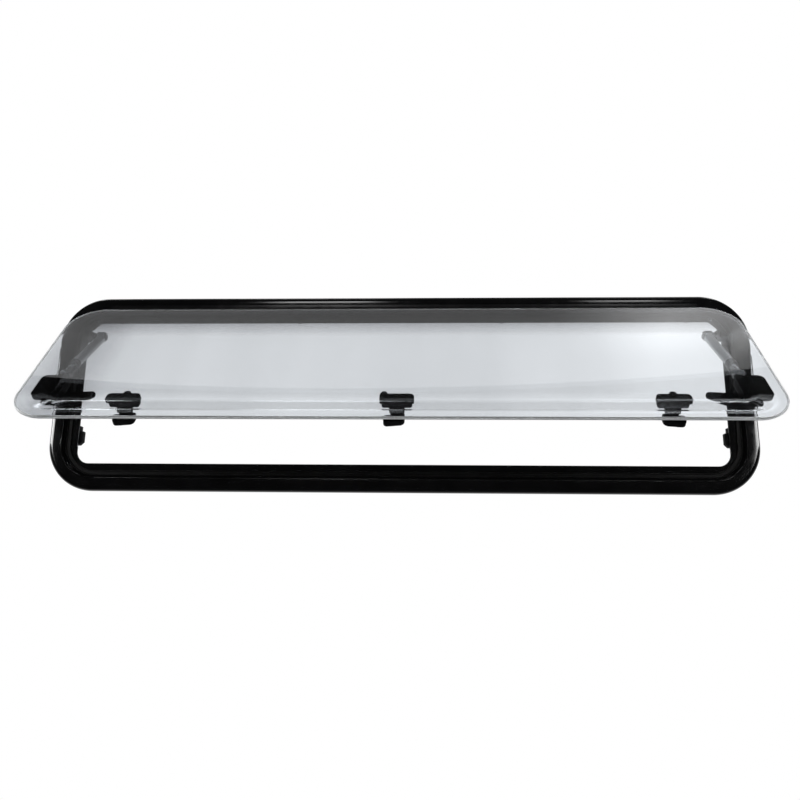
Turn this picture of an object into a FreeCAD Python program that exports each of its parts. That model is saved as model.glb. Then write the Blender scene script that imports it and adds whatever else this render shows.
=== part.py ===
"""Top-hung caravan window, held open on two telescopic stays.

Units are millimetres. X runs along the window, +Y points through the wall into the
caravan and +Z is up. The outer wall skin lies in the plane Y = 0, and the origin is
on the back of the flange, half way along and half way up its bottom rail.
"""
import FreeCAD, Part
import math
import os

import Sketcher

SIZES = {
    # Wall opening and outer frame
    "cutout_width": "1200",
    "cutout_height": "300",
    "flange_width": "30",
    "outer_corner_radius": "86",
    "bar_width": "50",
    "bead_width": "24",
    "bead_height": "12",
    "bead_outer_round": "9.5",
    "bead_inner_round": "2.5",
    "bead_edge_height": "2.5",
    "seat_height": "1",
    "lip_thickness": "3.5",
    "lip_root": "4",
    "lip_corner_radius": "22",
    "lip_round": "1.2",
    "collar_clearance": "1",
    "collar_wall": "4",
    "collar_depth": "28",
    "sealant_groove_width": "3",
    "sealant_groove_depth": "1.5",
    # Screw bosses for the inside clamp frame
    "boss_radius": "5",
    "boss_length": "20",
    "pilot_radius": "1.6",
    "pilot_depth": "14",
    "boss_from_side": "100",
    "inner_boss_pitch": "380",
    # Rubber seal between the frame seat and the pane
    "seal_offset": "28",
    "seal_width": "10",
    "seal_base": "1",
    "seal_lip_height": "1.2",
    "seal_lip_width": "2.6",
    # Hinge along the top
    "pivot_drop": "20",
    "pivot_front": "7",
    "hinge_end_margin": "4",
    "hinge_cap_length": "10",
    "rail_above_pivot": "5.5",
    "rail_below_pivot": "4",
    "rail_front_wall": "1.6",
    "hinge_bead_radius": "2.5",
    "hinge_clearance": "0.2",
    "hinge_neck": "2.4",
    "hinge_crossbar": "1.8",
    "hinge_leg_length": "12",
    "hinge_leg_wall": "1.5",
    # Double acrylic pane
    "open_angle": "39.2",
    "pane_side_border": "28.2",
    "pane_bottom_border": "21",
    "pane_corner_radius": "60",
    "pane_below_pivot": "7",
    "outer_sheet": "4",
    "inner_sheet": "3",
    "edge_round": "1.2",
    "rim_side_width": "11",
    "rim_end_width": "17.5",
    "dish_side_slope": "28",
    "dish_end_slope": "39.5",
    "dish_depth": "12",
    "dish_round": "5",
    # Three latches with turning handles
    "latch_from_end": "164.5",
    "centre_latch_shift": "3.5",
    "latch_above_edge": "63",
    "latch_base_width": "55",
    "latch_base_height": "17.5",
    "latch_base_lift": "5.5",
    "latch_plate_depth": "9",
    "latch_block_depth": "8.5",
    "latch_block_step": "3",
    "latch_corner": "7",
    "latch_round": "1.5",
    "button_width": "12",
    "button_rise": "7.5",
    "button_depth": "7",
    "button_inset": "1",
    "button_round": "5",
    "spindle_radius": "12.5",
    "spindle_neck_radius": "11.2",
    "spindle_length": "13",
    "handle_hub_radius": "12",
    "handle_tip_height": "15",
    "handle_droop": "8.5",
    "handle_reach": "22.5",
    "handle_thickness": "12",
    "handle_round": "2.5",
    # Side latches and the catches on the jambs
    "side_latch_from_top": "208",
    "side_latch_overlap": "18",
    "side_latch_length": "51",
    "side_latch_height": "58",
    "side_latch_plate": "4",
    "side_latch_plate_length": "14",
    "side_latch_depth": "12",
    "side_latch_corner": "11",
    "side_latch_round": "4",
    "lever_drop": "21",
    "lever_end_margin": "17",
    "lever_length": "83",
    "lever_height": "29",
    "lever_tip_height": "17",
    "lever_tip_rise": "12",
    "lever_taper": "30",
    "lever_thickness": "6",
    "lever_round": "2",
    "catch_projection": "6",
    "catch_height": "29",
    "catch_shoulder": "9.5",
    "catch_shoulder_reach": "0.5",
    "catch_chamfer": "6",
    "catch_depth": "10",
    "catch_round": "2",
    # Telescopic stays
    "stay_inset": "16",
    "stay_pivot_drop": "71",
    "stay_pivot_depth": "20",
    "stay_foot_from_top": "170",
    "stay_foot_lift": "10",
    "stay_foot_plate": "3",
    "stay_foot_width": "18",
    "stay_foot_inner": "14",
    "stay_lug_wall": "4",
    "stay_eye_radius": "8.5",
    "stay_rod_eye_radius": "7",
    "stay_eye_width": "12",
    "stay_pin_radius": "3.2",
    "stay_head_radius": "5.5",
    "stay_head_length": "2.5",
    "stay_bracket_plate": "3",
    "stay_bracket_height": "22",
    "stay_bracket_width": "12",
    "stay_bracket_wall": "4",
    "stay_stud_radius": "5",
    "stay_stud_length": "8",
    "stay_fit": "0.2",
    "stay_tube_radius": "8",
    "stay_bore_radius": "5.7",
    "stay_tube_length": "124",
    "stay_rod_radius": "5.5",
    "stay_rod_overlap": "40",
    "stay_collar_radius": "9",
    "stay_collar_length": "14",
}

# Lengths worked out from the driving sizes
FRAME_WIDTH = "(Sizes.cutout_width + 2 * Sizes.flange_width)"
FRAME_HEIGHT = "(Sizes.cutout_height + 2 * Sizes.flange_width)"
FRAME_BOTTOM = "(-Sizes.flange_width / 2)"
FRAME_TOP = f"({FRAME_BOTTOM} + {FRAME_HEIGHT})"
COLLAR_OUT = "(Sizes.flange_width + Sizes.collar_clearance)"
COLLAR_IN = f"({COLLAR_OUT} + Sizes.collar_wall)"
SEAT_FRONT = "(-Sizes.seat_height)"
LIP_BACK = f"({SEAT_FRONT} + Sizes.lip_thickness)"
PIVOT_HEIGHT = f"({FRAME_TOP} - Sizes.pivot_drop)"
LIP_EDGE = f"({FRAME_WIDTH} / 2 - Sizes.bar_width)"
SOCKET_RADIUS = "(Sizes.hinge_bead_radius + Sizes.hinge_clearance)"
POCKET_LENGTH = f"({FRAME_WIDTH} - 2 * Sizes.outer_corner_radius - 2 * Sizes.hinge_end_margin)"
HINGE_LENGTH = f"({POCKET_LENGTH} - 2 * Sizes.hinge_cap_length)"
SIDE_LATCH_OUT = f"({LIP_EDGE} + Sizes.side_latch_overlap)"
STAY_PLANE = f"({LIP_EDGE} - Sizes.stay_inset)"
STAY_PIVOT_HEIGHT = f"({FRAME_TOP} - Sizes.stay_pivot_drop)"

# Sash distances, measured from the hinge line with the pane hanging straight down
RIM_THICKNESS = "(Sizes.outer_sheet + Sizes.inner_sheet)"
OUTER_FACE = f"(-{RIM_THICKNESS} / 2)"
SHEET_JOINT = f"({OUTER_FACE} + Sizes.outer_sheet)"
RIM_BACK = f"({RIM_THICKNESS} / 2)"
DISH_BACK = f"({RIM_BACK} + Sizes.dish_depth)"
PANE_TOP = "(-Sizes.pane_below_pivot)"
PANE_BOTTOM = f"({FRAME_BOTTOM} + Sizes.pane_bottom_border - {PIVOT_HEIGHT})"
PANE_HALF = f"({FRAME_WIDTH} / 2 - Sizes.pane_side_border)"
DISH_SIDE_INSET = "(Sizes.rim_side_width + Sizes.dish_side_slope)"
DISH_END_INSET = "(Sizes.rim_end_width + Sizes.dish_end_slope)"
LATCH_HEIGHT = f"({PANE_BOTTOM} + Sizes.latch_above_edge)"
LATCH_BLOCK = f"({DISH_BACK} + Sizes.latch_plate_depth)"
LATCH_BACK = f"({LATCH_BLOCK} + Sizes.latch_block_depth)"
HANDLE_FRONT = f"({LATCH_BACK} + Sizes.spindle_length)"
SIDE_LATCH_HEIGHT = f"({PANE_TOP} - Sizes.side_latch_from_top)"
SIDE_LATCH_BODY = f"({DISH_BACK} + Sizes.side_latch_plate)"
SIDE_LATCH_BACK = f"({SIDE_LATCH_BODY} + Sizes.side_latch_depth)"
LEVER_HEIGHT = f"({SIDE_LATCH_HEIGHT} - Sizes.lever_drop)"
STAY_FOOT_HEIGHT = f"({PANE_TOP} - Sizes.stay_foot_from_top)"
STAY_FOOT_PIN = f"({DISH_BACK} + Sizes.stay_foot_lift)"

SIDES = {"left": -1, "right": 1}
LATCH_PITCH = f"({PANE_HALF} - Sizes.latch_from_end)"
BUTTON_AT_END = "(Sizes.latch_base_width - Sizes.button_width) / 2"
LATCHES = {
    # name: place along the pane, place of the button on the base, way the handle points
    "left": (f"-{LATCH_PITCH}", "3", -1),
    "centre": ("Sizes.centre_latch_shift", f"-{BUTTON_AT_END}", -1),
    "right": (LATCH_PITCH, "1", 1),
}

doc = FreeCAD.newDocument("CaravanWindow")
sheet = doc.addObject("Spreadsheet::Sheet", "Sizes")
for row, (alias, size) in enumerate(SIZES.items(), start=1):
    sheet.set(f"A{row}", alias)
    sheet.set(f"B{row}", size)
    sheet.setAlias(f"B{row}", alias)
doc.recompute()

bodies = []


def number(expression):
    """The present value of an expression over the sheet's cells."""
    value = sheet.evalExpression(expression)
    return float(getattr(value, "Value", value))


def new_body(label):
    """An empty body that will be written under its label."""
    body = doc.addObject("PartDesign::Body", label)
    body.Label = label
    bodies.append(body)
    return body


def sketch_on(body, role, offset=None):
    """A sketch on one of the body's own origin planes, moved along that plane's normal."""
    sketch = body.newObject("Sketcher::SketchObject", "Outline")
    support = next(item for item in body.Origin.OriginFeatures if item.Role == role)
    sketch.AttachmentSupport = [(support, "")]
    sketch.MapMode = "FlatFace"
    if offset is not None:
        sketch.setExpression("AttachmentOffset.Base.z", offset)
    return sketch


def front_sketch(body, depth):
    """A sketch parallel to the wall at a depth along +Y."""
    return sketch_on(body, "XZ_Plane", f"-({depth})")


def bind(sketch, constraint, expression):
    """Add a constraint and tie its value to an expression."""
    index = sketch.addConstraint(constraint)
    sketch.setExpression(f"Constraints[{index}]", expression)


def fix_point(sketch, geometry, vertex, across, along):
    """Tie a point of the sketch to two expressions."""
    for kind, axis, expression in (("DistanceX", -2, across), ("DistanceY", -1, along)):
        if expression == "0":
            sketch.addConstraint(Sketcher.Constraint("PointOnObject", geometry, vertex, axis))
        else:
            value = number(expression)
            bind(sketch, Sketcher.Constraint(kind, -1, 1, geometry, vertex, value), expression)


def circle(sketch, across, along, radius):
    """A circle tied to its centre and radius."""
    centre = FreeCAD.Vector(number(across), number(along), 0)
    shape = Part.Circle(centre, FreeCAD.Vector(0, 0, 1), number(radius))
    geometry = sketch.addGeometry(shape)
    fix_point(sketch, geometry, 3, across, along)
    bind(sketch, Sketcher.Constraint("Radius", geometry, number(radius)), radius)


def outline(sketch, corners):
    """A closed outline of straight lines, with an arc at each corner that has a radius."""
    count = len(corners)
    points = [FreeCAD.Vector(number(c[0]), number(c[1]), 0) for c in corners]
    radii = [number(c[2]) if len(c) > 2 else 0.0 for c in corners]
    entry, leave = [], []
    for i, point in enumerate(points):
        to_last = (points[i - 1] - point).normalize()
        to_next = (points[(i + 1) % count] - point).normalize()
        half = to_last.getAngle(to_next) / 2
        run = radii[i] / math.tan(half)
        entry.append(point + to_last * run)
        leave.append(point + to_next * run)
    lines = []
    for i in range(count):
        segment = Part.LineSegment(leave[i], entry[(i + 1) % count])
        lines.append(sketch.addGeometry(segment))
    for i, corner in enumerate(corners):
        before, after = lines[i - 1], lines[i]
        if not radii[i]:
            sketch.addConstraint(Sketcher.Constraint("Coincident", before, 2, after, 1))
            fix_point(sketch, after, 1, corner[0], corner[1])
            continue
        bisector = (entry[i] + leave[i]) * 0.5 - points[i]
        reach = math.hypot((entry[i] - points[i]).Length, radii[i])
        middle = points[i] + bisector.normalize() * (reach - radii[i])
        arc = sketch.addGeometry(Part.Arc(entry[i], middle, leave[i]))
        turn = (entry[i] - points[i]).cross(leave[i] - points[i]).z
        first, last = (1, 2) if turn < 0 else (2, 1)
        sketch.addConstraint(Sketcher.Constraint("Tangent", before, 2, arc, first))
        sketch.addConstraint(Sketcher.Constraint("Tangent", arc, last, after, 1))
        mark = sketch.addGeometry(Part.Point(points[i]), True)
        sketch.addConstraint(Sketcher.Constraint("PointOnObject", mark, 1, before))
        sketch.addConstraint(Sketcher.Constraint("PointOnObject", mark, 1, after))
        fix_point(sketch, mark, 1, corner[0], corner[1])
        bind(sketch, Sketcher.Constraint("Radius", arc, radii[i]), corner[2])


def rectangle(sketch, left, right, bottom, top, radius="0"):
    """A rectangle with equal corner arcs."""
    corners = [(left, bottom), (right, bottom), (right, top), (left, top)]
    if radius != "0":
        corners = [corner + (radius,) for corner in corners]
    outline(sketch, corners)


def extrude(body, kind, sketch, length, reverse=False):
    """A pad or a pocket of a sketch."""
    volume_before = body.Shape.Volume if body.Tip else 0.0
    feature = body.newObject(f"PartDesign::{kind}", kind)
    feature.Profile = sketch
    feature.setExpression("Length", length)
    feature.Reversed = reverse
    doc.recompute()
    if kind == "Pocket" and body.Shape.Volume >= volume_before:
        raise RuntimeError(f"a pocket in {body.Label} cuts nothing")
    return feature


def pad_inward(body, sketch, length):
    """A pad from a wall-parallel sketch along +Y."""
    return extrude(body, "Pad", sketch, length, reverse=True)


def pocket_outward(body, sketch, length):
    """A pocket from a wall-parallel sketch along -Y."""
    return extrude(body, "Pocket", sketch, length, reverse=True)


def round_edges(body, radius, chosen):
    """Fillet the edges of the body's tip that pass a test."""
    base = body.Tip
    names = [f"Edge{i}" for i, edge in enumerate(base.Shape.Edges, 1) if chosen(edge)]
    feature = body.newObject("PartDesign::Fillet", "Fillet")
    feature.Base = (base, names)
    feature.setExpression("Radius", radius)
    doc.recompute()
    return feature


def lies_at_depth(depth):
    """A test for edges that lie in the plane Y = depth."""
    level = number(depth)
    return lambda edge: (abs(edge.BoundBox.YMin - level) < 1e-4
                         and abs(edge.BoundBox.YMax - level) < 1e-4)


def tilt(body, across="0", angle="Sizes.open_angle", depth="-Sizes.pivot_front",
         height=PIVOT_HEIGHT):
    """Place a body at the hinge line, swung outwards at its lower edge."""
    swing = FreeCAD.Rotation(FreeCAD.Vector(1, 0, 0), -number(angle))
    body.Placement = FreeCAD.Placement(FreeCAD.Vector(0, 0, 0), swing)
    body.setExpression("Placement.Base.x", across)
    body.setExpression("Placement.Base.y", depth)
    body.setExpression("Placement.Base.z", height)


def sweep_round_frame(body, profile_corners):
    """Sweep a top-rail section round the rounded rectangle of the flange's middle line."""
    path = sketch_on(body, "XZ_Plane")
    half = f"({FRAME_WIDTH} - Sizes.flange_width) / 2"
    top = f"({FRAME_TOP} - Sizes.flange_width / 2)"
    round_off = "(Sizes.outer_corner_radius - Sizes.flange_width / 2)"
    rectangle(path, f"-{half}", half, "0", top, round_off)
    profile = sketch_on(body, "YZ_Plane")
    outline(profile, profile_corners)
    feature = body.newObject("PartDesign::AdditivePipe", "Sweep")
    feature.Profile = profile
    feature.Spine = (path, [f"Edge{i}" for i in range(1, 9)])
    doc.recompute()
    return feature


def from_edge(distance):
    """Height on the top rail of a point that far in from the frame's outer edge."""
    return f"({FRAME_TOP} - ({distance}))"


def make_outer_frame():
    """Moulded frame: domed bead, pane seat with its lip, collar through the wall, bosses."""
    body = new_body("outer_frame")
    groove = "(-Sizes.sealant_groove_depth)"
    groove_out = f"{COLLAR_OUT} - Sizes.sealant_groove_width"
    bead_front = "-Sizes.bead_height"
    sweep_round_frame(body, [
        ("0", from_edge("0")),
        ("-Sizes.bead_edge_height", from_edge("0"), "1"),
        (bead_front, from_edge("0.25 * Sizes.bead_outer_round"), "Sizes.bead_outer_round"),
        (bead_front, from_edge("Sizes.bead_width"), "Sizes.bead_inner_round"),
        (SEAT_FRONT, from_edge("Sizes.bead_width")),
        (SEAT_FRONT, from_edge(f"{COLLAR_IN} + Sizes.lip_root")),
        (LIP_BACK, from_edge(f"{COLLAR_IN} + Sizes.lip_root")),
        (LIP_BACK, from_edge(COLLAR_IN)),
        ("Sizes.collar_depth", from_edge(COLLAR_IN)),
        ("Sizes.collar_depth", from_edge(COLLAR_OUT)),
        (groove, from_edge(COLLAR_OUT)),
        (groove, from_edge(groove_out)),
        ("0", from_edge(groove_out)),
    ])
    add_lip(body)
    add_screw_bosses(body)
    cut_hinge_pocket(body)


def frame_outline(sketch, inset, radius):
    """The frame's rounded rectangle, drawn in by an inset, with a corner radius of its own."""
    half = f"({FRAME_WIDTH} / 2 - ({inset}))"
    rectangle(sketch, f"-{half}", half, f"({FRAME_BOTTOM} + ({inset}))",
              f"({FRAME_TOP} - ({inset}))", radius)


def add_lip(body):
    """Flat lip round the opening, whose corners are tighter than the bead's."""
    lip = front_sketch(body, SEAT_FRONT)
    root = f"({COLLAR_IN} + Sizes.lip_root / 2)"
    frame_outline(lip, root, f"(Sizes.outer_corner_radius - {root})")
    frame_outline(lip, "Sizes.bar_width", "Sizes.lip_corner_radius")
    pad_inward(body, lip, "Sizes.lip_thickness")
    edge = number(LIP_EDGE) + 0.01
    at_front, at_back = lies_at_depth(SEAT_FRONT), lies_at_depth(LIP_BACK)
    low = number(f"{FRAME_BOTTOM} + Sizes.bar_width") - 0.01
    high = number(f"{FRAME_TOP} - Sizes.bar_width") + 0.01

    def round_the_opening(edge_shape):
        box = edge_shape.BoundBox
        inside = box.XMin > -edge and box.XMax < edge and box.ZMin > low and box.ZMax < high
        return inside and (at_front(edge_shape) or at_back(edge_shape))

    round_edges(body, "Sizes.lip_round", round_the_opening)


def boss_places():
    """Centres of the screw bosses, which stand against the inside of the collar."""
    inset = f"({COLLAR_IN} + Sizes.boss_radius / 2)"
    low, high = f"({FRAME_BOTTOM} + {inset})", f"({FRAME_TOP} - {inset})"
    jamb = f"({FRAME_WIDTH} / 2 - {inset})"
    middle = f"(({FRAME_BOTTOM} + {FRAME_TOP}) / 2)"
    for sign in SIDES.values():
        for distance in (f"({FRAME_WIDTH} / 2 - Sizes.boss_from_side)", "Sizes.inner_boss_pitch / 2"):
            for height in (low, high):
                yield f"{sign} * {distance}", height
        yield f"{sign} * {jamb}", middle


def add_screw_bosses(body):
    """Round bosses behind the lip with blind pilot holes for the inside clamp frame."""
    bosses = front_sketch(body, "Sizes.collar_depth - Sizes.boss_length")
    pilots = front_sketch(body, "Sizes.collar_depth")
    for across, height in boss_places():
        circle(bosses, across, height, "Sizes.boss_radius")
        circle(pilots, across, height, "Sizes.pilot_radius")
    pad_inward(body, bosses, "Sizes.boss_length")
    pocket_outward(body, pilots, "Sizes.pilot_depth")


def cut_hinge_pocket(body):
    """Take the inner part of the top bead away where the hinge rail and its caps sit."""
    pocket = front_sketch(body, SEAT_FRONT)
    half = f"{POCKET_LENGTH} / 2"
    rectangle(pocket, f"-{half}", half, from_edge("Sizes.bead_width + Sizes.bead_inner_round"),
              f"({PIVOT_HEIGHT} + Sizes.rail_above_pivot)")
    pocket_outward(body, pocket, "2 * Sizes.bead_height")


def make_frame_seal():
    """Rubber strip on the seat with two lips that the closed pane presses on."""
    body = new_body("frame_seal")
    crest = f"({SEAT_FRONT} - Sizes.seal_base - Sizes.seal_lip_height)"
    base = f"({SEAT_FRONT} - Sizes.seal_base)"
    near, far = "Sizes.seal_offset", "(Sizes.seal_offset + Sizes.seal_width)"
    lip_round = "0.45 * Sizes.seal_lip_width"
    sweep_round_frame(body, [
        (SEAT_FRONT, from_edge(near)),
        (crest, from_edge(near), lip_round),
        (crest, from_edge(f"{near} + Sizes.seal_lip_width"), lip_round),
        (base, from_edge(f"{near} + Sizes.seal_lip_width")),
        (base, from_edge(f"{far} - Sizes.seal_lip_width")),
        (crest, from_edge(f"{far} - Sizes.seal_lip_width"), lip_round),
        (crest, from_edge(far), lip_round),
        (SEAT_FRONT, from_edge(far)),
    ])


def along_window(body, start):
    """A sketch of a section across the window, at a distance along X."""
    return sketch_on(body, "YZ_Plane", start)


def rail_section(sketch):
    """The block of the hinge rail, which fills the pocket in the top bead."""
    front = "(-Sizes.pivot_front - Sizes.hinge_bead_radius - Sizes.rail_front_wall)"
    low = f"({PIVOT_HEIGHT} - Sizes.rail_below_pivot)"
    high = f"({PIVOT_HEIGHT} + Sizes.rail_above_pivot)"
    outline(sketch, [
        (front, low, "0.6"), (SEAT_FRONT, low), (SEAT_FRONT, high), (front, high, "1.2"),
    ])


def make_hinge_rail():
    """Fixed hinge rail with a round socket that is open towards the pane."""
    body = new_body("hinge_rail")
    start = f"-{HINGE_LENGTH} / 2"
    block = along_window(body, start)
    rail_section(block)
    extrude(body, "Pad", block, HINGE_LENGTH)
    socket = along_window(body, start)
    circle(socket, "-Sizes.pivot_front", PIVOT_HEIGHT, SOCKET_RADIUS)
    extrude(body, "Pocket", socket, HINGE_LENGTH, reverse=True)
    mouth = along_window(body, start)
    below = f"{PIVOT_HEIGHT} - 2 * Sizes.rail_below_pivot"
    ahead = "-2 * Sizes.pivot_front"
    outline(mouth, [
        ("-Sizes.pivot_front", PIVOT_HEIGHT),
        ("-Sizes.pivot_front + Sizes.rail_below_pivot", below),
        (ahead, below),
        (ahead, f"{PIVOT_HEIGHT} - Sizes.hinge_neck / 2"),
    ])
    extrude(body, "Pocket", mouth, HINGE_LENGTH, reverse=True)


def make_hinge_end_cap(name, sign):
    """Plug that closes one end of the hinge rail."""
    body = new_body(f"hinge_end_cap_{name}")
    inner = f"{HINGE_LENGTH} / 2" if sign > 0 else f"-{POCKET_LENGTH} / 2"
    section = along_window(body, inner)
    rail_section(section)
    extrude(body, "Pad", section, "Sizes.hinge_cap_length")


def make_hinge_strip():
    """Moving hinge strip: a round bead, its neck, and an angle that holds the pane's top edge."""
    body = new_body("hinge_strip")
    start = f"-{HINGE_LENGTH} / 2"
    neck = "Sizes.hinge_neck / 2"
    bar_top = f"({PANE_TOP} + Sizes.hinge_crossbar)"
    leg_back = f"({RIM_BACK} + Sizes.hinge_leg_wall)"
    leg_low = f"({PANE_TOP} - Sizes.hinge_leg_length)"
    section = along_window(body, start)
    outline(section, [
        (f"-{neck}", "0"), (neck, "0"), (neck, bar_top), (leg_back, bar_top, "0.6"),
        (leg_back, leg_low), (RIM_BACK, leg_low), (RIM_BACK, PANE_TOP), (OUTER_FACE, PANE_TOP),
        (OUTER_FACE, bar_top, "0.6"), (f"-{neck}", bar_top),
    ])
    extrude(body, "Pad", section, HINGE_LENGTH)
    bead = along_window(body, start)
    circle(bead, "0", "0", "Sizes.hinge_bead_radius")
    extrude(body, "Pad", bead, HINGE_LENGTH)
    tilt(body)


def pane_outline(sketch, side_inset, end_inset):
    """The pane's rounded rectangle, drawn in at its sides and at its top and bottom."""
    half = f"({PANE_HALF} - ({side_inset}))"
    rectangle(sketch, f"-{half}", half, f"({PANE_BOTTOM} + ({end_inset}))",
              f"({PANE_TOP} - ({end_inset}))", f"(Sizes.pane_corner_radius - ({side_inset}))")


def make_pane_outer_sheet():
    """Flat outer acrylic sheet with a rounded outer edge."""
    body = new_body("pane_outer_sheet")
    sketch = front_sketch(body, OUTER_FACE)
    pane_outline(sketch, "0", "0")
    pad_inward(body, sketch, "Sizes.outer_sheet")
    round_edges(body, "Sizes.edge_round", lies_at_depth(OUTER_FACE))
    tilt(body)


def loft(body, kind, rings):
    """A loft between two wall-parallel outlines of the pane, each a depth and two insets."""
    sketches = []
    for depth, side_inset, end_inset in rings:
        sketch = front_sketch(body, depth)
        pane_outline(sketch, side_inset, end_inset)
        sketches.append(sketch)
    feature = body.newObject(f"PartDesign::{kind}", kind)
    feature.Profile = sketches[0]
    feature.Sections = sketches[1:]
    feature.Ruled = True
    doc.recompute()
    return feature


def make_pane_inner_sheet():
    """Inner acrylic sheet, formed into a shallow dish inside its bonded rim."""
    body = new_body("pane_inner_sheet")
    rim = front_sketch(body, SHEET_JOINT)
    pane_outline(rim, "Sizes.edge_round", "Sizes.edge_round")
    pad_inward(body, rim, "Sizes.inner_sheet")
    loft(body, "AdditiveLoft", [
        (RIM_BACK, "Sizes.rim_side_width", "Sizes.rim_end_width"),
        (DISH_BACK, DISH_SIDE_INSET, DISH_END_INSET),
    ])
    hollow = "Sizes.inner_sheet / 2"
    loft(body, "SubtractiveLoft", [
        (SHEET_JOINT, f"Sizes.rim_side_width + {hollow}", f"Sizes.rim_end_width + {hollow}"),
        (f"{DISH_BACK} - Sizes.inner_sheet", f"{DISH_SIDE_INSET} + {hollow}",
         f"{DISH_END_INSET} + {hollow}"),
    ])
    round_edges(body, "Sizes.dish_round", lies_at_depth(DISH_BACK))
    tilt(body)


def make_latch(name, across, button_offset, way):
    """One latch: stepped base on the dish, domed button, turning spindle and its handle."""
    half = "Sizes.latch_base_width / 2"
    low = f"({LATCH_HEIGHT} + Sizes.latch_base_lift - Sizes.latch_base_height / 2)"
    high = f"({low} + Sizes.latch_base_height)"
    corner, round_off, step = "Sizes.latch_corner", "Sizes.latch_round", "Sizes.latch_block_step"

    base = new_body(f"latch_base_{name}")
    plate = front_sketch(base, DISH_BACK)
    button_corner = round_off if button_offset == f"-{BUTTON_AT_END}" else corner
    outline(plate, [(f"-{half}", low, round_off), (half, low, round_off), (half, high, corner),
                    (f"-{half}", high, button_corner)])
    pad_inward(base, plate, "Sizes.latch_plate_depth")
    block = front_sketch(base, LATCH_BLOCK)
    rectangle(block, f"-({half} - {step})", f"({half} - {step})", low, f"({high} - {step})",
              f"({corner} - {step})")
    pad_inward(base, block, "Sizes.latch_block_depth")
    round_edges(base, round_off, lies_at_depth(LATCH_BACK))
    tilt(base, across)

    button = new_body(f"latch_button_{name}")
    sketch = front_sketch(button, f"{DISH_BACK} + Sizes.button_inset")
    left, right = (f"({button_offset} {sign} Sizes.button_width / 2)" for sign in "-+")
    crown = f"({high} + Sizes.button_rise)"
    if button_corner == round_off:
        left = f"({left} + {round_off})"
    outline(sketch, [(left, high), (right, high), (right, crown, "Sizes.button_round"),
                     (left, crown, "Sizes.button_round")])
    pad_inward(button, sketch, "Sizes.button_depth")
    tilt(button, across)

    spindle = new_body(f"latch_spindle_{name}")
    for radius, share in (("Sizes.spindle_radius", "0.35"), ("Sizes.spindle_neck_radius", "1")):
        sketch = front_sketch(spindle, LATCH_BACK)
        circle(sketch, "0", LATCH_HEIGHT, radius)
        pad_inward(spindle, sketch, f"{share} * Sizes.spindle_length")
    tilt(spindle, across)

    handle = new_body(f"latch_handle_{name}")
    sketch = front_sketch(handle, HANDLE_FRONT)
    hub, tip = "Sizes.handle_hub_radius", "Sizes.handle_tip_height"
    tip_middle = f"({LATCH_HEIGHT} - Sizes.handle_droop)"
    tip_x, hub_x, neck_x = (f"{sign * way} * {size}" for sign, size in (
        (1, "Sizes.handle_reach"), (-1, hub), (1, f"0.75 * {hub}")))
    outline(sketch, [
        (hub_x, f"({LATCH_HEIGHT} - {hub})", f"0.7 * {hub}"),
        (tip_x, f"({tip_middle} - {tip} / 2)", f"0.42 * {tip}"),
        (tip_x, f"({tip_middle} + {tip} / 2)", f"0.42 * {tip}"),
        (neck_x, f"({tip_middle} + {tip} / 2)", f"0.2 * {tip}"),
        (neck_x, f"({LATCH_HEIGHT} + {hub})", f"0.5 * {hub}"),
        (hub_x, f"({LATCH_HEIGHT} + {hub})", f"0.7 * {hub}"),
    ][::1 if way > 0 else -1])
    pad_inward(handle, sketch, "Sizes.handle_thickness")
    round_edges(handle, "Sizes.handle_round", lies_at_depth(f"{HANDLE_FRONT} + Sizes.handle_thickness"))
    tilt(handle, across)


def span(sign, inner, outer):
    """Left and right ends of a stretch between two distances out from the middle."""
    ends = (f"({inner})", f"({outer})") if sign > 0 else (f"-({outer})", f"-({inner})")
    return ends


def mirrored(sign, corners):
    """Corners drawn for the right-hand side, moved to the side that the sign names."""
    moved = [(f"{sign} * ({corner[0]})",) + corner[1:] for corner in corners]
    return moved[::sign]


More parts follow.
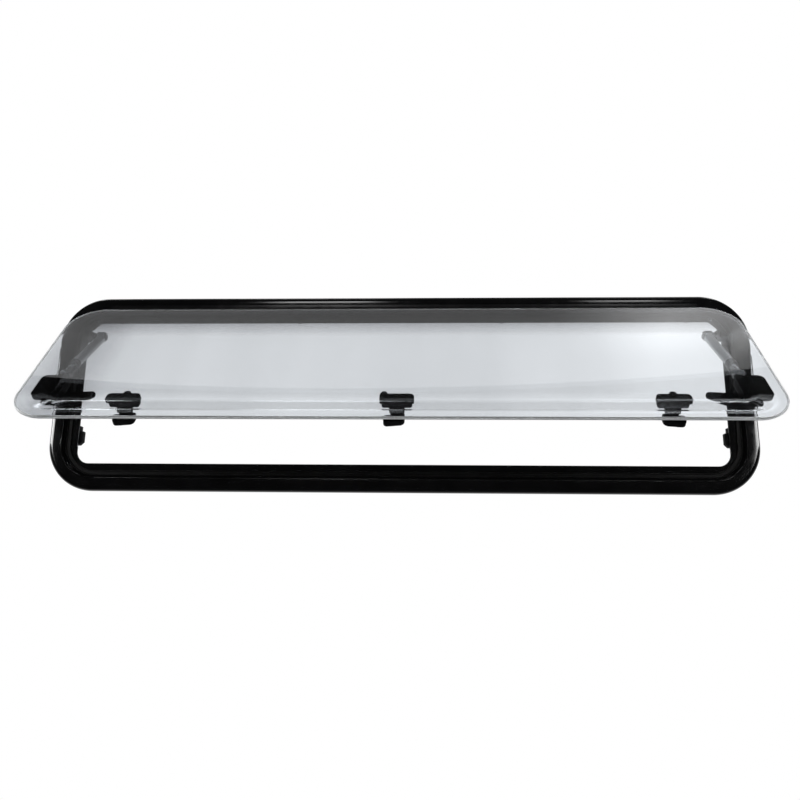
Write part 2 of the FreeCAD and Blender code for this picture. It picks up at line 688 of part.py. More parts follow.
def make_side_latch(name, sign):
    """Side latch: a plate on the dish, a tongue that hooks behind the jamb, and a wing lever."""
    half = "Sizes.side_latch_height / 2"
    low, high = f"({SIDE_LATCH_HEIGHT} - {half})", f"({SIDE_LATCH_HEIGHT} + {half})"
    body_in = f"({SIDE_LATCH_OUT} - Sizes.side_latch_length)"
    corner = "Sizes.side_latch_corner"

    base = new_body(f"side_latch_base_{name}")
    plate = front_sketch(base, DISH_BACK)
    left, right = span(sign, body_in, f"{body_in} + Sizes.side_latch_plate_length")
    rectangle(plate, left, right, low, f"({high} - {corner} / 2)", "Sizes.side_latch_round")
    pad_inward(base, plate, "Sizes.side_latch_plate")
    tongue = front_sketch(base, SIDE_LATCH_BODY)
    outline(tongue, mirrored(sign, [
        (body_in, low, "Sizes.side_latch_round"),
        (SIDE_LATCH_OUT, low, corner),
        (SIDE_LATCH_OUT, high, corner),
        (f"{body_in} + 2 * {corner}", high, corner),
        (body_in, f"({high} - {corner})", "Sizes.side_latch_round"),
    ]))
    pad_inward(base, tongue, "Sizes.side_latch_depth")
    round_edges(base, "0.5 * Sizes.side_latch_round", lies_at_depth(SIDE_LATCH_BACK))
    tilt(base)

    lever = new_body(f"side_latch_lever_{name}")
    wing = front_sketch(lever, SIDE_LATCH_BACK)
    outer = f"({SIDE_LATCH_OUT} - Sizes.lever_end_margin)"
    inner = f"({outer} - Sizes.lever_length)"
    half, tip = "Sizes.lever_height / 2", "Sizes.lever_tip_height / 2"
    tip_middle = f"({LEVER_HEIGHT} + Sizes.lever_tip_rise)"
    outline(wing, mirrored(sign, [
        (inner, f"({tip_middle} - {tip})", f"0.8 * {tip}"),
        (f"{inner} + Sizes.lever_taper", f"({LEVER_HEIGHT} - {half})", half),
        (outer, f"({LEVER_HEIGHT} - {half})", f"0.4 * {half}"),
        (outer, f"({LEVER_HEIGHT} + {half})", f"0.4 * {half}"),
        (inner, f"({tip_middle} + {tip})", f"0.8 * {tip}"),
    ]))
    pad_inward(lever, wing, "Sizes.lever_thickness")
    round_edges(lever, "Sizes.lever_round",
                lies_at_depth(f"{SIDE_LATCH_BACK} + Sizes.lever_thickness"))
    tilt(lever)


def make_side_catch(name, sign):
    """Catch behind the jamb's lip that the side latch closes on, with a shoulder at its top."""
    body = new_body(f"side_catch_{name}")
    sketch = front_sketch(body, LIP_BACK)
    collar = f"({FRAME_WIDTH} / 2 - {COLLAR_IN})"
    low = f"({PIVOT_HEIGHT} + {LEVER_HEIGHT} - Sizes.catch_height / 2)"
    high = f"({low} + Sizes.catch_height)"
    step = f"({high} - Sizes.catch_shoulder)"
    nose, shoulder = (f"({LIP_EDGE} - Sizes.{reach})"
                      for reach in ("catch_projection", "catch_shoulder_reach"))
    outline(sketch, mirrored(sign, [
        (nose, low, "Sizes.catch_round"),
        (LIP_EDGE, f"({low} - Sizes.catch_chamfer)", "Sizes.catch_round"),
        (collar, f"({low} - Sizes.catch_chamfer)"),
        (collar, high),
        (shoulder, high, "0.5 * Sizes.catch_round"),
        (shoulder, step, "0.5 * Sizes.catch_round"),
        (nose, step, "Sizes.catch_round"),
    ]))
    pad_inward(body, sketch, "Sizes.catch_depth")


def make_stay(name, sign):
    """One telescopic stay with its bracket on the collar and its foot on the dish."""
    eye_half = "Sizes.stay_eye_width / 2"
    pin_inner = f"({STAY_PLANE} - {eye_half} - Sizes.stay_fit)"
    pin_outer = f"({STAY_PLANE} + {eye_half} + Sizes.stay_fit)"

    def disc(body, inner, outer, radius, depth, height):
        start = f"({inner})" if sign > 0 else f"-({outer})"
        section = along_window(body, start)
        circle(section, depth, height, radius)
        extrude(body, "Pad", section, f"({outer}) - ({inner})")

    bracket = new_body(f"stay_bracket_{name}")
    lug_inner = f"({pin_outer} + Sizes.stay_stud_length)"
    lug_outer = f"({lug_inner} + Sizes.stay_bracket_wall)"
    seat = f"({LIP_BACK} - Sizes.stay_pivot_depth)"
    half_tall = "Sizes.stay_bracket_height / 2"
    plate = front_sketch(bracket, seat)
    left, right = span(sign, f"{lug_outer} - Sizes.stay_bracket_width / 2",
                       f"{lug_outer} + Sizes.stay_bracket_width / 2")
    rectangle(plate, left, right, f"-{half_tall} - Sizes.stay_eye_radius / 2",
              f"{half_tall} - Sizes.stay_eye_radius / 2", "2")
    pad_inward(bracket, plate, "Sizes.stay_bracket_plate")
    lug = along_window(bracket, lug_inner if sign > 0 else f"-{lug_outer}")
    crown = "Sizes.stay_eye_radius"
    outline(lug, [
        (seat, f"-{half_tall} - Sizes.stay_eye_radius / 2"),
        (crown, "-Sizes.stay_eye_radius", "0.7 * Sizes.stay_eye_radius"),
        (crown, "Sizes.stay_eye_radius", "0.7 * Sizes.stay_eye_radius"),
        (seat, f"{half_tall} - Sizes.stay_eye_radius / 2"),
    ])
    extrude(bracket, "Pad", lug, "Sizes.stay_bracket_wall")
    disc(bracket, pin_outer, lug_inner, "Sizes.stay_stud_radius", "0", "0")
    disc(bracket, pin_inner, pin_outer, "Sizes.stay_pin_radius", "0", "0")
    disc(bracket, f"{pin_inner} - Sizes.stay_head_length", pin_inner, "Sizes.stay_head_radius", "0", "0")
    tilt(bracket, angle="0", depth="Sizes.stay_pivot_depth", height=STAY_PIVOT_HEIGHT)

    foot = new_body(f"stay_foot_{name}")
    lug_outer = pin_inner
    lug_inner = f"({pin_inner} - Sizes.stay_lug_wall)"
    half = "Sizes.stay_foot_width / 2"
    base = front_sketch(foot, DISH_BACK)
    left, right = span(sign, f"{lug_outer} - Sizes.stay_foot_inner", lug_outer)
    rectangle(base, left, right, f"({STAY_FOOT_HEIGHT} - {half})", f"({STAY_FOOT_HEIGHT} + {half})", "3")
    pad_inward(foot, base, "Sizes.stay_foot_plate")
    lug = along_window(foot, lug_inner if sign > 0 else f"-{lug_outer}")
    crown = f"({STAY_FOOT_PIN} + Sizes.stay_rod_eye_radius)"
    outline(lug, [
        (DISH_BACK, f"({STAY_FOOT_HEIGHT} - {half} + 3)"),
        (crown, f"({STAY_FOOT_HEIGHT} - 0.75 * {half})", f"0.6 * {half}"),
        (crown, f"({STAY_FOOT_HEIGHT} + 0.75 * {half})", f"0.6 * {half}"),
        (DISH_BACK, f"({STAY_FOOT_HEIGHT} + {half} - 3)"),
    ])
    extrude(foot, "Pad", lug, "Sizes.stay_lug_wall")
    disc(foot, pin_inner, pin_outer, "Sizes.stay_pin_radius", STAY_FOOT_PIN, STAY_FOOT_HEIGHT)
    disc(foot, pin_outer, f"{pin_outer} + Sizes.stay_head_length", "Sizes.stay_head_radius",
         STAY_FOOT_PIN, STAY_FOOT_HEIGHT)
    tilt(foot)

    swing = math.radians(number("Sizes.open_angle"))
    foot_depth, foot_height = number(STAY_FOOT_PIN), number(STAY_FOOT_HEIGHT)
    reach_out = (number("Sizes.stay_pivot_depth") + number("Sizes.pivot_front")
                 - foot_depth * math.cos(swing) - foot_height * math.sin(swing))
    reach_down = (number(STAY_PIVOT_HEIGHT) - number(PIVOT_HEIGHT)
                  + foot_depth * math.sin(swing) - foot_height * math.cos(swing))
    length = math.hypot(reach_out, reach_down)
    angle = f"{math.degrees(math.atan2(reach_out, reach_down))}"
    stay_at = {"angle": angle, "depth": "Sizes.stay_pivot_depth", "height": STAY_PIVOT_HEIGHT}
    eye_start = f"{sign} * {STAY_PLANE} - {eye_half}"
    stay_x = f"{sign} * {STAY_PLANE}"
    bore = "Sizes.stay_pin_radius + Sizes.stay_fit"

    def ring(body, radius, height):
        eye = along_window(body, eye_start)
        circle(eye, "0", height, radius)
        extrude(body, "Pad", eye, "Sizes.stay_eye_width")

    def bore_eye(body, height):
        hole = along_window(body, eye_start)
        circle(hole, "0", height, bore)
        extrude(body, "Pocket", hole, "Sizes.stay_eye_width", reverse=True)

    def round_bar(body, kind, top, run, radius):
        section = sketch_on(body, "XY_Plane", top)
        circle(section, stay_x, "0", radius)
        extrude(body, kind, section, run, reverse=(kind == "Pad"))

    tube = new_body(f"stay_tube_{name}")
    ring(tube, "Sizes.stay_eye_radius", "0")
    shoulder = "0.85 * Sizes.stay_eye_radius"
    round_bar(tube, "Pad", f"-{shoulder}", f"Sizes.stay_tube_length - {shoulder}",
              "Sizes.stay_tube_radius")
    round_bar(tube, "Pocket", "-2 * Sizes.stay_eye_radius",
              "Sizes.stay_tube_length", "Sizes.stay_bore_radius")
    bore_eye(tube, "0")
    tilt(tube, **stay_at)

    rod = new_body(f"stay_rod_{name}")
    ring(rod, "Sizes.stay_rod_eye_radius", f"-{length}")
    rod_top = "(Sizes.stay_rod_overlap - Sizes.stay_tube_length)"
    round_bar(rod, "Pad", rod_top, f"{length} + {rod_top}", "Sizes.stay_rod_radius")
    bore_eye(rod, f"-{length}")
    tilt(rod, **stay_at)

    grip = new_body(f"stay_collar_{name}")
    grip_top = "(0.75 * Sizes.stay_collar_length - Sizes.stay_tube_length)"
    round_bar(grip, "Pad", grip_top, "Sizes.stay_collar_length", "Sizes.stay_collar_radius")
    round_bar(grip, "Pocket", grip_top, "0.75 * Sizes.stay_collar_length",
              "Sizes.stay_tube_radius")
    round_bar(grip, "Pocket", grip_top, "Sizes.stay_collar_length", "Sizes.stay_bore_radius")
    tilt(grip, **stay_at)


make_outer_frame()
make_frame_seal()
make_hinge_rail()
make_hinge_strip()
make_pane_outer_sheet()
make_pane_inner_sheet()
for latch, (across, button_offset, way) in LATCHES.items():
    make_latch(latch, across, button_offset, way)
for side, sign in SIDES.items():
    make_hinge_end_cap(side, sign)
    make_side_latch(side, sign)
    make_side_catch(side, sign)
    make_stay(side, sign)
doc.recompute()

for item in doc.Objects:
    if {"Invalid", "Error"} & set(item.State):
        raise RuntimeError(f"{item.Label} failed: {item.State}")
os.makedirs("parts", exist_ok=True)
for body in bodies:
    shape = body.Shape
    if shape.isNull() or not shape.isValid() or len(shape.Solids) != 1:
        raise RuntimeError(f"{body.Label} is not one valid solid")
    shape.exportStep(f"parts/{body.Label}.step")
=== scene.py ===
"""Looks of the top-hung caravan window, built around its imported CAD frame.

X runs along the window, +Y into the caravan and +Z up. Pieces are shaped in millimetres and scaled to
the row's metres at the end. Camera, lamps and patterns are in metres.
"""

import logging
import math
from dataclasses import dataclass, field
from enum import Enum
from typing import Iterable

import bmesh
import bpy
from mathutils import Matrix, Vector


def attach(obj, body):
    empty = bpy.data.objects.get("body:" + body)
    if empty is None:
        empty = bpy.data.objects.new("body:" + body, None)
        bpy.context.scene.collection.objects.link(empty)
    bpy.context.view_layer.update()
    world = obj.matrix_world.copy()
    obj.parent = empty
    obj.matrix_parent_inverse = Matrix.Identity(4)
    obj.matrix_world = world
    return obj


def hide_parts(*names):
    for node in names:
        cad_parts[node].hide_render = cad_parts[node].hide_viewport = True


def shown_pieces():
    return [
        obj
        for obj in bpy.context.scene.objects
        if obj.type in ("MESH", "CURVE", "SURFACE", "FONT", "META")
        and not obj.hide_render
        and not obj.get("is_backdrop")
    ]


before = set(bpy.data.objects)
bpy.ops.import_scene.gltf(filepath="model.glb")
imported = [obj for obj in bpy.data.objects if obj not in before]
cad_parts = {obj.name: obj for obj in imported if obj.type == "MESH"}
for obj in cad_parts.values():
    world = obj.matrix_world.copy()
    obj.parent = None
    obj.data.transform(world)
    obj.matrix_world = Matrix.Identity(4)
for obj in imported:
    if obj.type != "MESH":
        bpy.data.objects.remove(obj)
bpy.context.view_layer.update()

MM = 0.001
IMAGE_PIXELS = 800
ROOT = "root"

# Millimetres within which vertices are merged, or count as lying at one place.
WELD_GAP = 0.01
SEAM_GAP = 0.001
SAME_PLACE = 1e-4

# Degrees: edges sharper than the first are rounded when a form is softened, and faces that meet at less
# than the second shade as one.
SHARP_ANGLE = 40.0
SMOOTH_ANGLE = 38.0

# Darkest part of the lines in a sawn or drawn surface, as a share of its colour.
LINE_SHADE = 0.8

Corner = tuple[float, float, float]
Point = tuple[float, float, float]
Colour = tuple[float, float, float]
Range = tuple[float, float]
STILL = Matrix.Identity(4)

log = logging.getLogger("caravan_window")


class Slot(str, Enum):
    """Material slots of the record."""

    FRAME = "frame_black"
    SEAL = "seal_rubber"
    HINGE = "hinge_black"
    PANE = "pane_acrylic"
    LATCH = "latch_black"
    BUTTON = "button_black"
    STAY_FITTING = "stay_fitting"
    STAY_TUBE = "stay_tube_grey"
    STAY_STEEL = "stay_steel"


class Side(Enum):
    """The two ends of the window."""

    LEFT = -1
    RIGHT = 1

    @property
    def word(self) -> str:
        """The side's word in node names."""
        return self.name.lower()

    @property
    def mirror(self) -> Matrix:
        """From the right-hand end, where pieces are drawn, to this one."""
        return Matrix.Diagonal((float(self.value), 1.0, 1.0, 1.0))


class ShaderGraph:
    """The node tree of one material, round its Principled shader."""

    def __init__(self, name: str) -> None:
        """Start a material that holds only its shader and output.

        Args:
            name: Name of the material.
        """
        self.material = bpy.data.materials.new(name)
        self.material.use_nodes = True
        self.tree = self.material.node_tree
        self.shader = self.tree.nodes["Principled BSDF"]

    def set(self, socket: str, value: object) -> None:
        """Put a constant on one of the shader's own sockets."""
        self.shader.inputs[socket].default_value = value

    def feed(self, socket: str, source: bpy.types.NodeSocket) -> None:
        """Link a node's output to one of the shader's sockets."""
        self.tree.links.new(source, self.shader.inputs[socket])

    def node(self, kind: str, **inputs: object) -> bpy.types.Node:
        """Add a node and fill its named inputs.

        Args:
            kind: Blender's identifier of the node.
            inputs: Socket names, with spaces as underscores, and their values or sources.

        Returns:
            The new node.
        """
        made = self.tree.nodes.new(kind)
        for key, value in inputs.items():
            socket = made.inputs[key.replace("_", " ")]
            if isinstance(value, bpy.types.NodeSocket):
                self.tree.links.new(value, socket)
            else:
                socket.default_value = value
        return made

    def place(self, stretch: Point = (1.0, 1.0, 1.0)) -> bpy.types.NodeSocket:
        """Object coordinates, stretched.

        Args:
            stretch: Scale of the pattern along each axis.

        Returns:
            The vector output.
        """
        coordinates = self.node("ShaderNodeTexCoord")
        mapping = self.node("ShaderNodeMapping", Vector=coordinates.outputs["Object"], Scale=stretch)
        return mapping.outputs["Vector"]

    def noise(self, vector: bpy.types.NodeSocket, scale: float, detail: float = 3.0) -> bpy.types.NodeSocket:
        """A noise value between 0 and 1.

        Args:
            vector: Where the pattern is read.
            scale: Waves in a metre.
            detail: Number of finer layers.

        Returns:
            The value output.
        """
        made = self.node("ShaderNodeTexNoise", Vector=vector, Scale=scale, Detail=detail)
        return made.outputs["Fac"]

    def spread(self, value: bpy.types.NodeSocket, low: float, high: float,
               start: float = 0.3, end: float = 0.7) -> bpy.types.NodeSocket:
        """Map a value's range to another.

        Args:
            value: Source.
            low: Result at start.
            high: Result at end.
            start: Source value that gives low.
            end: Source value that gives high.

        Returns:
            The mapped value.
        """
        made = self.node("ShaderNodeMapRange", Value=value, From_Min=start, From_Max=end,
                         To_Min=low, To_Max=high)
        return made.outputs["Result"]

    def mix(self, factor: bpy.types.NodeSocket, first: Colour, second: Colour) -> bpy.types.NodeSocket:
        """Blend two colours.

        Args:
            factor: 0 gives the first colour, 1 the second.
            first: Linear colour.
            second: Linear colour.

        Returns:
            The colour output.
        """
        made = self.tree.nodes.new("ShaderNodeMix")
        made.data_type = "RGBA"
        self.tree.links.new(factor, made.inputs["Factor"])
        for name, colour in (("A", first), ("B", second)):
            socket = next(s for s in made.inputs if s.name == name and s.type == "RGBA")
            socket.default_value = (*colour, 1.0)
        return next(s for s in made.outputs if s.type == "RGBA")

    def bump(self, height: bpy.types.NodeSocket, depth: float) -> None:
        """Raise the surface by a height pattern.

        Args:
            height: Pattern between 0 and 1.
            depth: Height in metres of a full step.
        """
        made = self.node("ShaderNodeBump", Height=height, Distance=depth, Strength=1.0)
        self.feed("Normal", made.outputs["Normal"])


@dataclass(frozen=True)
class MouldedPlastic:
    """Black moulding with slight mottling, uneven gloss and a fine skin."""

    name: str
    colour: Colour
    gloss: Range
    skin_scale: float
    skin_depth: float
    specular: float = 0.5
    gloss_scale: float = 60.0
    mottle_scale: float = 26.0
    mottle_gain: float = 1.5
    mottle_lift: float = 0.001

    def material(self) -> bpy.types.Material:
        """Build the material.

        Returns:
            The material.
        """
        graph = ShaderGraph(self.name)
        space = graph.place()
        mottle = graph.noise(space, self.mottle_scale)
        lighter = tuple(self.mottle_gain * part + self.mottle_lift for part in self.colour)
        graph.feed("Base Color", graph.mix(graph.spread(mottle, 0.0, 1.0), self.colour, lighter))
        graph.feed("Roughness", graph.spread(graph.noise(space, self.gloss_scale), *self.gloss))
        graph.set("Specular IOR Level", self.specular)
        graph.bump(graph.noise(space, self.skin_scale, detail=2.0), self.skin_depth)
        return graph.material


@dataclass(frozen=True)
class Acrylic:
    """Clear acrylic with a grey tint and faint streaks, with painted light and shade in the tint: a painted
    shadow that deepens it towards the hinge, painted shade in a band near the left end, and painted light
    that clears it towards the right end and the bottom.

    Depths are shares of the way from the light colour to the dark one, and places are in metres.
    """

    name: str
    light: Colour
    dark: Colour
    top: float = 0.322
    fade_end: float = 0.255
    # Painted shadow below the hinge: the tint deepens towards the top.
    hinge_shadow_depth: float = 1.0
    middle_depth: float = 0.24
    # Painted shade: a darker band of tint near the left end.
    left_shade_depth: float = 0.28
    painted_left_shade: tuple[float, float, float, float] = (-0.60, -0.56, -0.53, -0.47)
    # Painted light: the tint clears towards the right end and towards the bottom.
    painted_right_light: Range = (0.10, 0.42)
    painted_foot_light: Range = (0.115, 0.13)
    foot_light_depth: float = -0.13
    streak_stretch: Point = (1.0, 0.15, 0.15)
    streak_scale: float = 5.0
    streak_depth: float = 0.06
    roughness: float = 0.0
    refraction: float = 1.49

    def material(self) -> bpy.types.Material:
        """Build the material.

        Returns:
            The material.
        """
        graph = ShaderGraph(self.name)
        coordinates = graph.node("ShaderNodeTexCoord")
        place = graph.node("ShaderNodeSeparateXYZ", Vector=coordinates.outputs["Object"])
        streaks = graph.noise(graph.place(self.streak_stretch), self.streak_scale, detail=2.0)
        depth = graph.spread(streaks, -self.streak_depth, self.streak_depth)
        # The tint's depth: streaks, then painted shadow towards the hinge, painted light at the bottom,
        # painted shade near the left end and painted light towards the right end.
        for part in (
            graph.spread(place.outputs["Z"], 0.0, self.hinge_shadow_depth, self.fade_end, self.top),
            graph.spread(place.outputs["Z"], self.foot_light_depth, 0.0, *self.painted_foot_light),
            graph.spread(place.outputs["X"], 0.0, self.left_shade_depth, *self.painted_left_shade[:2]),
            graph.spread(place.outputs["X"], 0.0, -self.left_shade_depth, *self.painted_left_shade[2:]),
            graph.spread(place.outputs["X"], self.middle_depth, 0.0, *self.painted_right_light),
        ):
            total = graph.node("ShaderNodeMath")
            graph.tree.links.new(depth, total.inputs[0])
            graph.tree.links.new(part, total.inputs[1])
            depth = total.outputs[0]
        graph.feed("Base Color", graph.mix(depth, self.light, self.dark))
        graph.set("Transmission Weight", 1.0)
        graph.set("Roughness", self.roughness)
        graph.set("IOR", self.refraction)
        return graph.material


@dataclass(frozen=True)
class SawnEdgeAndSheen:
    """Cut edge of an acrylic sheet, matt and part clear, with fine saw lines across it; its milky colour is
    painted sheen that stands in for the bright look of the edge.
    """

    name: str = "sawn_acrylic_edge_and_sheen"
    colour: Colour = (0.74, 0.76, 0.77)
    clear: float = 0.7
    gloss: Range = (0.40, 0.55)
    line_scale: float = 700.0
    line_stretch: Point = (1.0, 0.1, 0.1)
    line_depth: float = 1e-5

    def material(self) -> bpy.types.Material:
        """Build the material.

        Returns:
            The material.
        """
        graph = ShaderGraph(self.name)
        lines = graph.noise(graph.place(self.line_stretch), self.line_scale, detail=2.0)
        darker = tuple(LINE_SHADE * part for part in self.colour)
        graph.feed("Base Color", graph.mix(graph.spread(lines, 0.0, 1.0), darker, self.colour))
        graph.feed("Roughness", graph.spread(lines, *self.gloss))
        graph.set("Transmission Weight", self.clear)
        graph.bump(lines, self.line_depth)
        return graph.material


@dataclass(frozen=True)
class DrawnMetal:
    """Metal with fine lines along one direction."""

    name: str
    colour: Colour
    gloss: Range
    line_scale: float
    metallic: float
    line_stretch: Point = (1.0, 0.06, 1.0)
    line_depth: float = 4e-6

    def material(self) -> bpy.types.Material:
        """Build the material.

        Returns:
            The material.
        """
        graph = ShaderGraph(self.name)
        lines = graph.noise(graph.place(self.line_stretch), self.line_scale, detail=4.0)
        darker = tuple(LINE_SHADE * part for part in self.colour)
        graph.feed("Base Color", graph.mix(graph.spread(lines, 0.0, 1.0), darker, self.colour))
        graph.feed("Roughness", graph.spread(lines, *self.gloss))
        graph.set("Metallic", self.metallic)
        graph.bump(lines, self.line_depth)
        return graph.material


FINISHES = {
    Slot.FRAME: MouldedPlastic("gloss_black_moulding", (0.003, 0.003, 0.0032), (0.06, 0.12),
                               skin_scale=900.0, skin_depth=3e-6, specular=0.3),
    Slot.SEAL: MouldedPlastic("seal_rubber", (0.004, 0.004, 0.004), (0.38, 0.52),
                              skin_scale=2400.0, skin_depth=1.5e-5, specular=0.06),
    Slot.HINGE: MouldedPlastic("hinge_powder_coat", (0.004, 0.004, 0.0045), (0.14, 0.22),
                               skin_scale=1800.0, skin_depth=4e-6, specular=0.4),
    Slot.PANE: Acrylic("tinted_acrylic", (0.94, 0.96, 0.98), (0.42, 0.43, 0.45)),
    Slot.LATCH: MouldedPlastic("latch_satin_black", (0.003, 0.003, 0.0033), (0.36, 0.50),
                               skin_scale=2600.0, skin_depth=1e-5, specular=0.02),
    Slot.BUTTON: MouldedPlastic("button_fine_black", (0.004, 0.004, 0.0043), (0.40, 0.54),
                                skin_scale=3200.0, skin_depth=1.4e-5, specular=0.025),
    Slot.STAY_FITTING: MouldedPlastic("stay_nylon_black", (0.02, 0.02, 0.022), (0.35, 0.50),
                                      skin_scale=2400.0, skin_depth=1.4e-5),
    Slot.STAY_TUBE: DrawnMetal("stay_anodised_tube", (0.46, 0.47, 0.48), (0.30, 0.42),
                               line_scale=900.0, metallic=0.3),
    Slot.STAY_STEEL: DrawnMetal("stay_drawn_steel", (0.60, 0.61, 0.62), (0.18, 0.30),
                                line_scale=1100.0, metallic=0.7),
}
# Painted sheen: the cut edges' milky colour stands in for their bright look; the saw lines are texture.
CUT_EDGE = SawnEdgeAndSheen()
# Painted highlight: a milky band round the outer sheet's front face, standing in for the bright line along
# the pane's edge.
EDGE_HIGHLIGHT = SawnEdgeAndSheen("painted_edge_highlight", (0.82, 0.83, 0.84), 0.5)

NODE_SLOTS = {
    "outer_frame": Slot.FRAME,
    "frame_seal": Slot.SEAL,
    "hinge": Slot.HINGE,
    "pane": Slot.PANE,
    "latch_button": Slot.BUTTON,
    "latch": Slot.LATCH,
    "side": Slot.LATCH,
    "stay_tube": Slot.STAY_TUBE,
    "stay_rod": Slot.STAY_STEEL,
    "stay": Slot.STAY_FITTING,
}


class Axis(Enum):
    """Directions that turned pieces and slabs are laid along."""

    ALONG = Matrix.Rotation(-math.pi / 2, 4, "Z")
    INWARD = Matrix.Identity(4)
    DOWN = Matrix.Rotation(-math.pi / 2, 4, "X")


@dataclass
class Workshop:
    """Makes each finish once and dresses the CAD nodes."""

    materials: dict[Slot, bpy.types.Material] = field(default_factory=dict)

    def finish(self, slot: Slot) -> bpy.types.Material:
        """The material of a slot, made on its first use.

        Args:
            slot: Material slot of the record.

        Returns:
            The material.
        """
        if slot not in self.materials:
            self.materials[slot] = FINISHES[slot].material()
        return self.materials[slot]

    def dress_nodes(self) -> None:
        """Give every CAD node the finish of its slot."""
        for name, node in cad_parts.items():
            slot = next(s for prefix, s in NODE_SLOTS.items() if name.startswith(prefix))
            node.data.materials.clear()
            node.data.materials.append(self.finish(slot))


class Form:
    """A mesh being shaped in millimetres, which becomes one piece of the window."""

    def __init__(self) -> None:
        """Start with an empty mesh."""
        self.bm = bmesh.new()

    def added(self, before: set[bmesh.types.BMVert]) -> list[bmesh.types.BMVert]:
        """Vertices that were not there before."""
        return [vert for vert in self.bm.verts if vert not in before]

    def face(self, corners: Iterable[Corner], steps: int = 6) -> bmesh.types.BMFace:
        """A flat face in the plane Y = 0.

        Args:
            corners: Across, up and corner radius of each corner, in order.
            steps: Segments of each rounded corner.

        Returns:
            The face.
        """
        corners = list(corners)
        before = set(self.bm.faces)
        verts = [self.bm.verts.new((x, 0.0, z)) for x, z, _ in corners]
        self.bm.faces.new(verts)
        spots = [vert.co.copy() for vert in verts]
        for i, (_, _, radius) in enumerate(corners):
            if radius > 0.0:
                back, ahead = spots[i - 1] - spots[i], spots[(i + 1) % len(spots)] - spots[i]
                run = radius / math.tan(back.angle(ahead) / 2)
                bmesh.ops.bevel(self.bm, geom=[verts[i]], offset=run, offset_type="ABSOLUTE", segments=steps,
                                profile=0.5, affect="VERTICES", material=-1)
        return next(face for face in self.bm.faces if face not in before)

    def slab(self, corners: Iterable[Corner], near: float, far: float, soft: float = 0.0,
             steps: int = 6) -> list[bmesh.types.BMVert]:
        """A plate with a rounded outline between two depths.

        Args:
            corners: Outline, as for a face.
            near: Depth of the front.
            far: Depth of the back.
            soft: Rounding of the edges.
            steps: Segments of each rounded corner.

        Returns:
            The plate's vertices.
        """
        before = set(self.bm.verts)
        face = self.face(corners, steps)
        bmesh.ops.translate(self.bm, vec=(0.0, near, 0.0), verts=face.verts)
        grown = bmesh.ops.extrude_face_region(self.bm, geom=[face])
        top = [item for item in grown["geom"] if isinstance(item, bmesh.types.BMVert)]
        bmesh.ops.translate(self.bm, vec=(0.0, far - near, 0.0), verts=top)
        if soft > 0.0:
            self.soften(self.added(before), soft)
        return self.added(before)

    def side_slab(self, corners: Iterable[Corner], left: float, right: float, soft: float = 0.0) -> None:
        """A plate that stands across the window.

        Args:
            corners: Depth, height and corner radius of each corner.
            left: Its left face.
            right: Its right face.
            soft: Rounding of the edges.
        """
        verts = self.slab(corners, -right, -left, soft)
        self.move(verts, Matrix.Rotation(math.pi / 2, 4, "Z"))

    def soften(self, verts: Iterable[bmesh.types.BMVert], width: float) -> None:
        """Round the sharp edges between some vertices.

        Args:
            verts: Vertices whose edges are looked at.
            width: Width of the rounding.
        """
        edges = {edge for vert in verts for edge in vert.link_edges}
        sharp = [edge for edge in edges
                 if len(edge.link_faces) == 2 and edge.calc_face_angle() > math.radians(SHARP_ANGLE)]
        bmesh.ops.bevel(self.bm, geom=sharp, offset=width, offset_type="OFFSET", segments=3, profile=0.5,
                        affect="EDGES", material=-1, clamp_overlap=True)

    def lathe(self, profile: Iterable[tuple[float, float]], centre: Point = (0.0, 0.0, 0.0),
              axis: Axis = Axis.INWARD, soft: float = 0.0, steps: int = 40) -> None:
        """Turn a profile round an axis.

        Args:
            profile: Radius and distance along the axis of each point.
            centre: Where distance 0 lies.
            axis: Direction of the axis.
            soft: Rounding of the edges.
            steps: Segments of the turn.
        """
        before = set(self.bm.verts)
        line = [self.bm.verts.new((radius, along, 0.0)) for radius, along in profile]
        edges = [self.bm.edges.new(pair) for pair in zip(line, line[1:])]
        bmesh.ops.spin(self.bm, geom=line + edges, cent=(0.0, 0.0, 0.0), axis=(0.0, 1.0, 0.0),
                       dvec=(0.0, 0.0, 0.0), angle=2 * math.pi, steps=steps, use_merge=True)
        bmesh.ops.remove_doubles(self.bm, verts=self.added(before), dist=SEAM_GAP)
        bmesh.ops.recalc_face_normals(
            self.bm, faces=list({face for vert in self.added(before) for face in vert.link_faces}))
        if soft > 0.0:
            self.soften(self.added(before), soft)
        self.move(self.added(before), Matrix.Translation(centre) @ axis.value)

    def move(self, verts: list[bmesh.types.BMVert], place: Matrix) -> None:
        """Move some vertices by a matrix."""
        bmesh.ops.transform(self.bm, matrix=place, space=STILL, verts=verts)

    def extrude(self, edges: list[bmesh.types.BMEdge], way: Vector) -> list[bmesh.types.BMEdge]:
        """Drag edges along a straight way.

        Args:
            edges: Edges of a section.
            way: Movement.

        Returns:
            The dragged edges.
        """
        grown = bmesh.ops.extrude_edge_only(self.bm, edges=edges)["geom"]
        verts = {item for item in grown if isinstance(item, bmesh.types.BMVert)}
        bmesh.ops.translate(self.bm, vec=way, verts=list(verts))
        return [item for item in grown if isinstance(item, bmesh.types.BMEdge) and set(item.verts) <= verts]

    def turn(self, edges: list[bmesh.types.BMEdge], pivot: Vector, steps: int) -> list[bmesh.types.BMEdge]:
        """Drag edges a quarter turn clockwise, seen from outside.

        Args:
            edges: Edges of a section.
            pivot: Centre of the turn.
            steps: Segments of the turn.

        Returns:
            The dragged edges.
        """
        verts = list({vert for edge in edges for vert in edge.verts})
        spun = bmesh.ops.spin(self.bm, geom=verts + edges, cent=pivot, axis=(0.0, 1.0, 0.0),
                              dvec=(0.0, 0.0, 0.0), angle=math.pi / 2, steps=steps, use_merge=False)
        return [item for item in spun["geom_last"] if isinstance(item, bmesh.types.BMEdge)]

    def weld(self) -> None:
        """Merge vertices that lie on each other."""
        bmesh.ops.remove_doubles(self.bm, verts=self.bm.verts, dist=WELD_GAP)

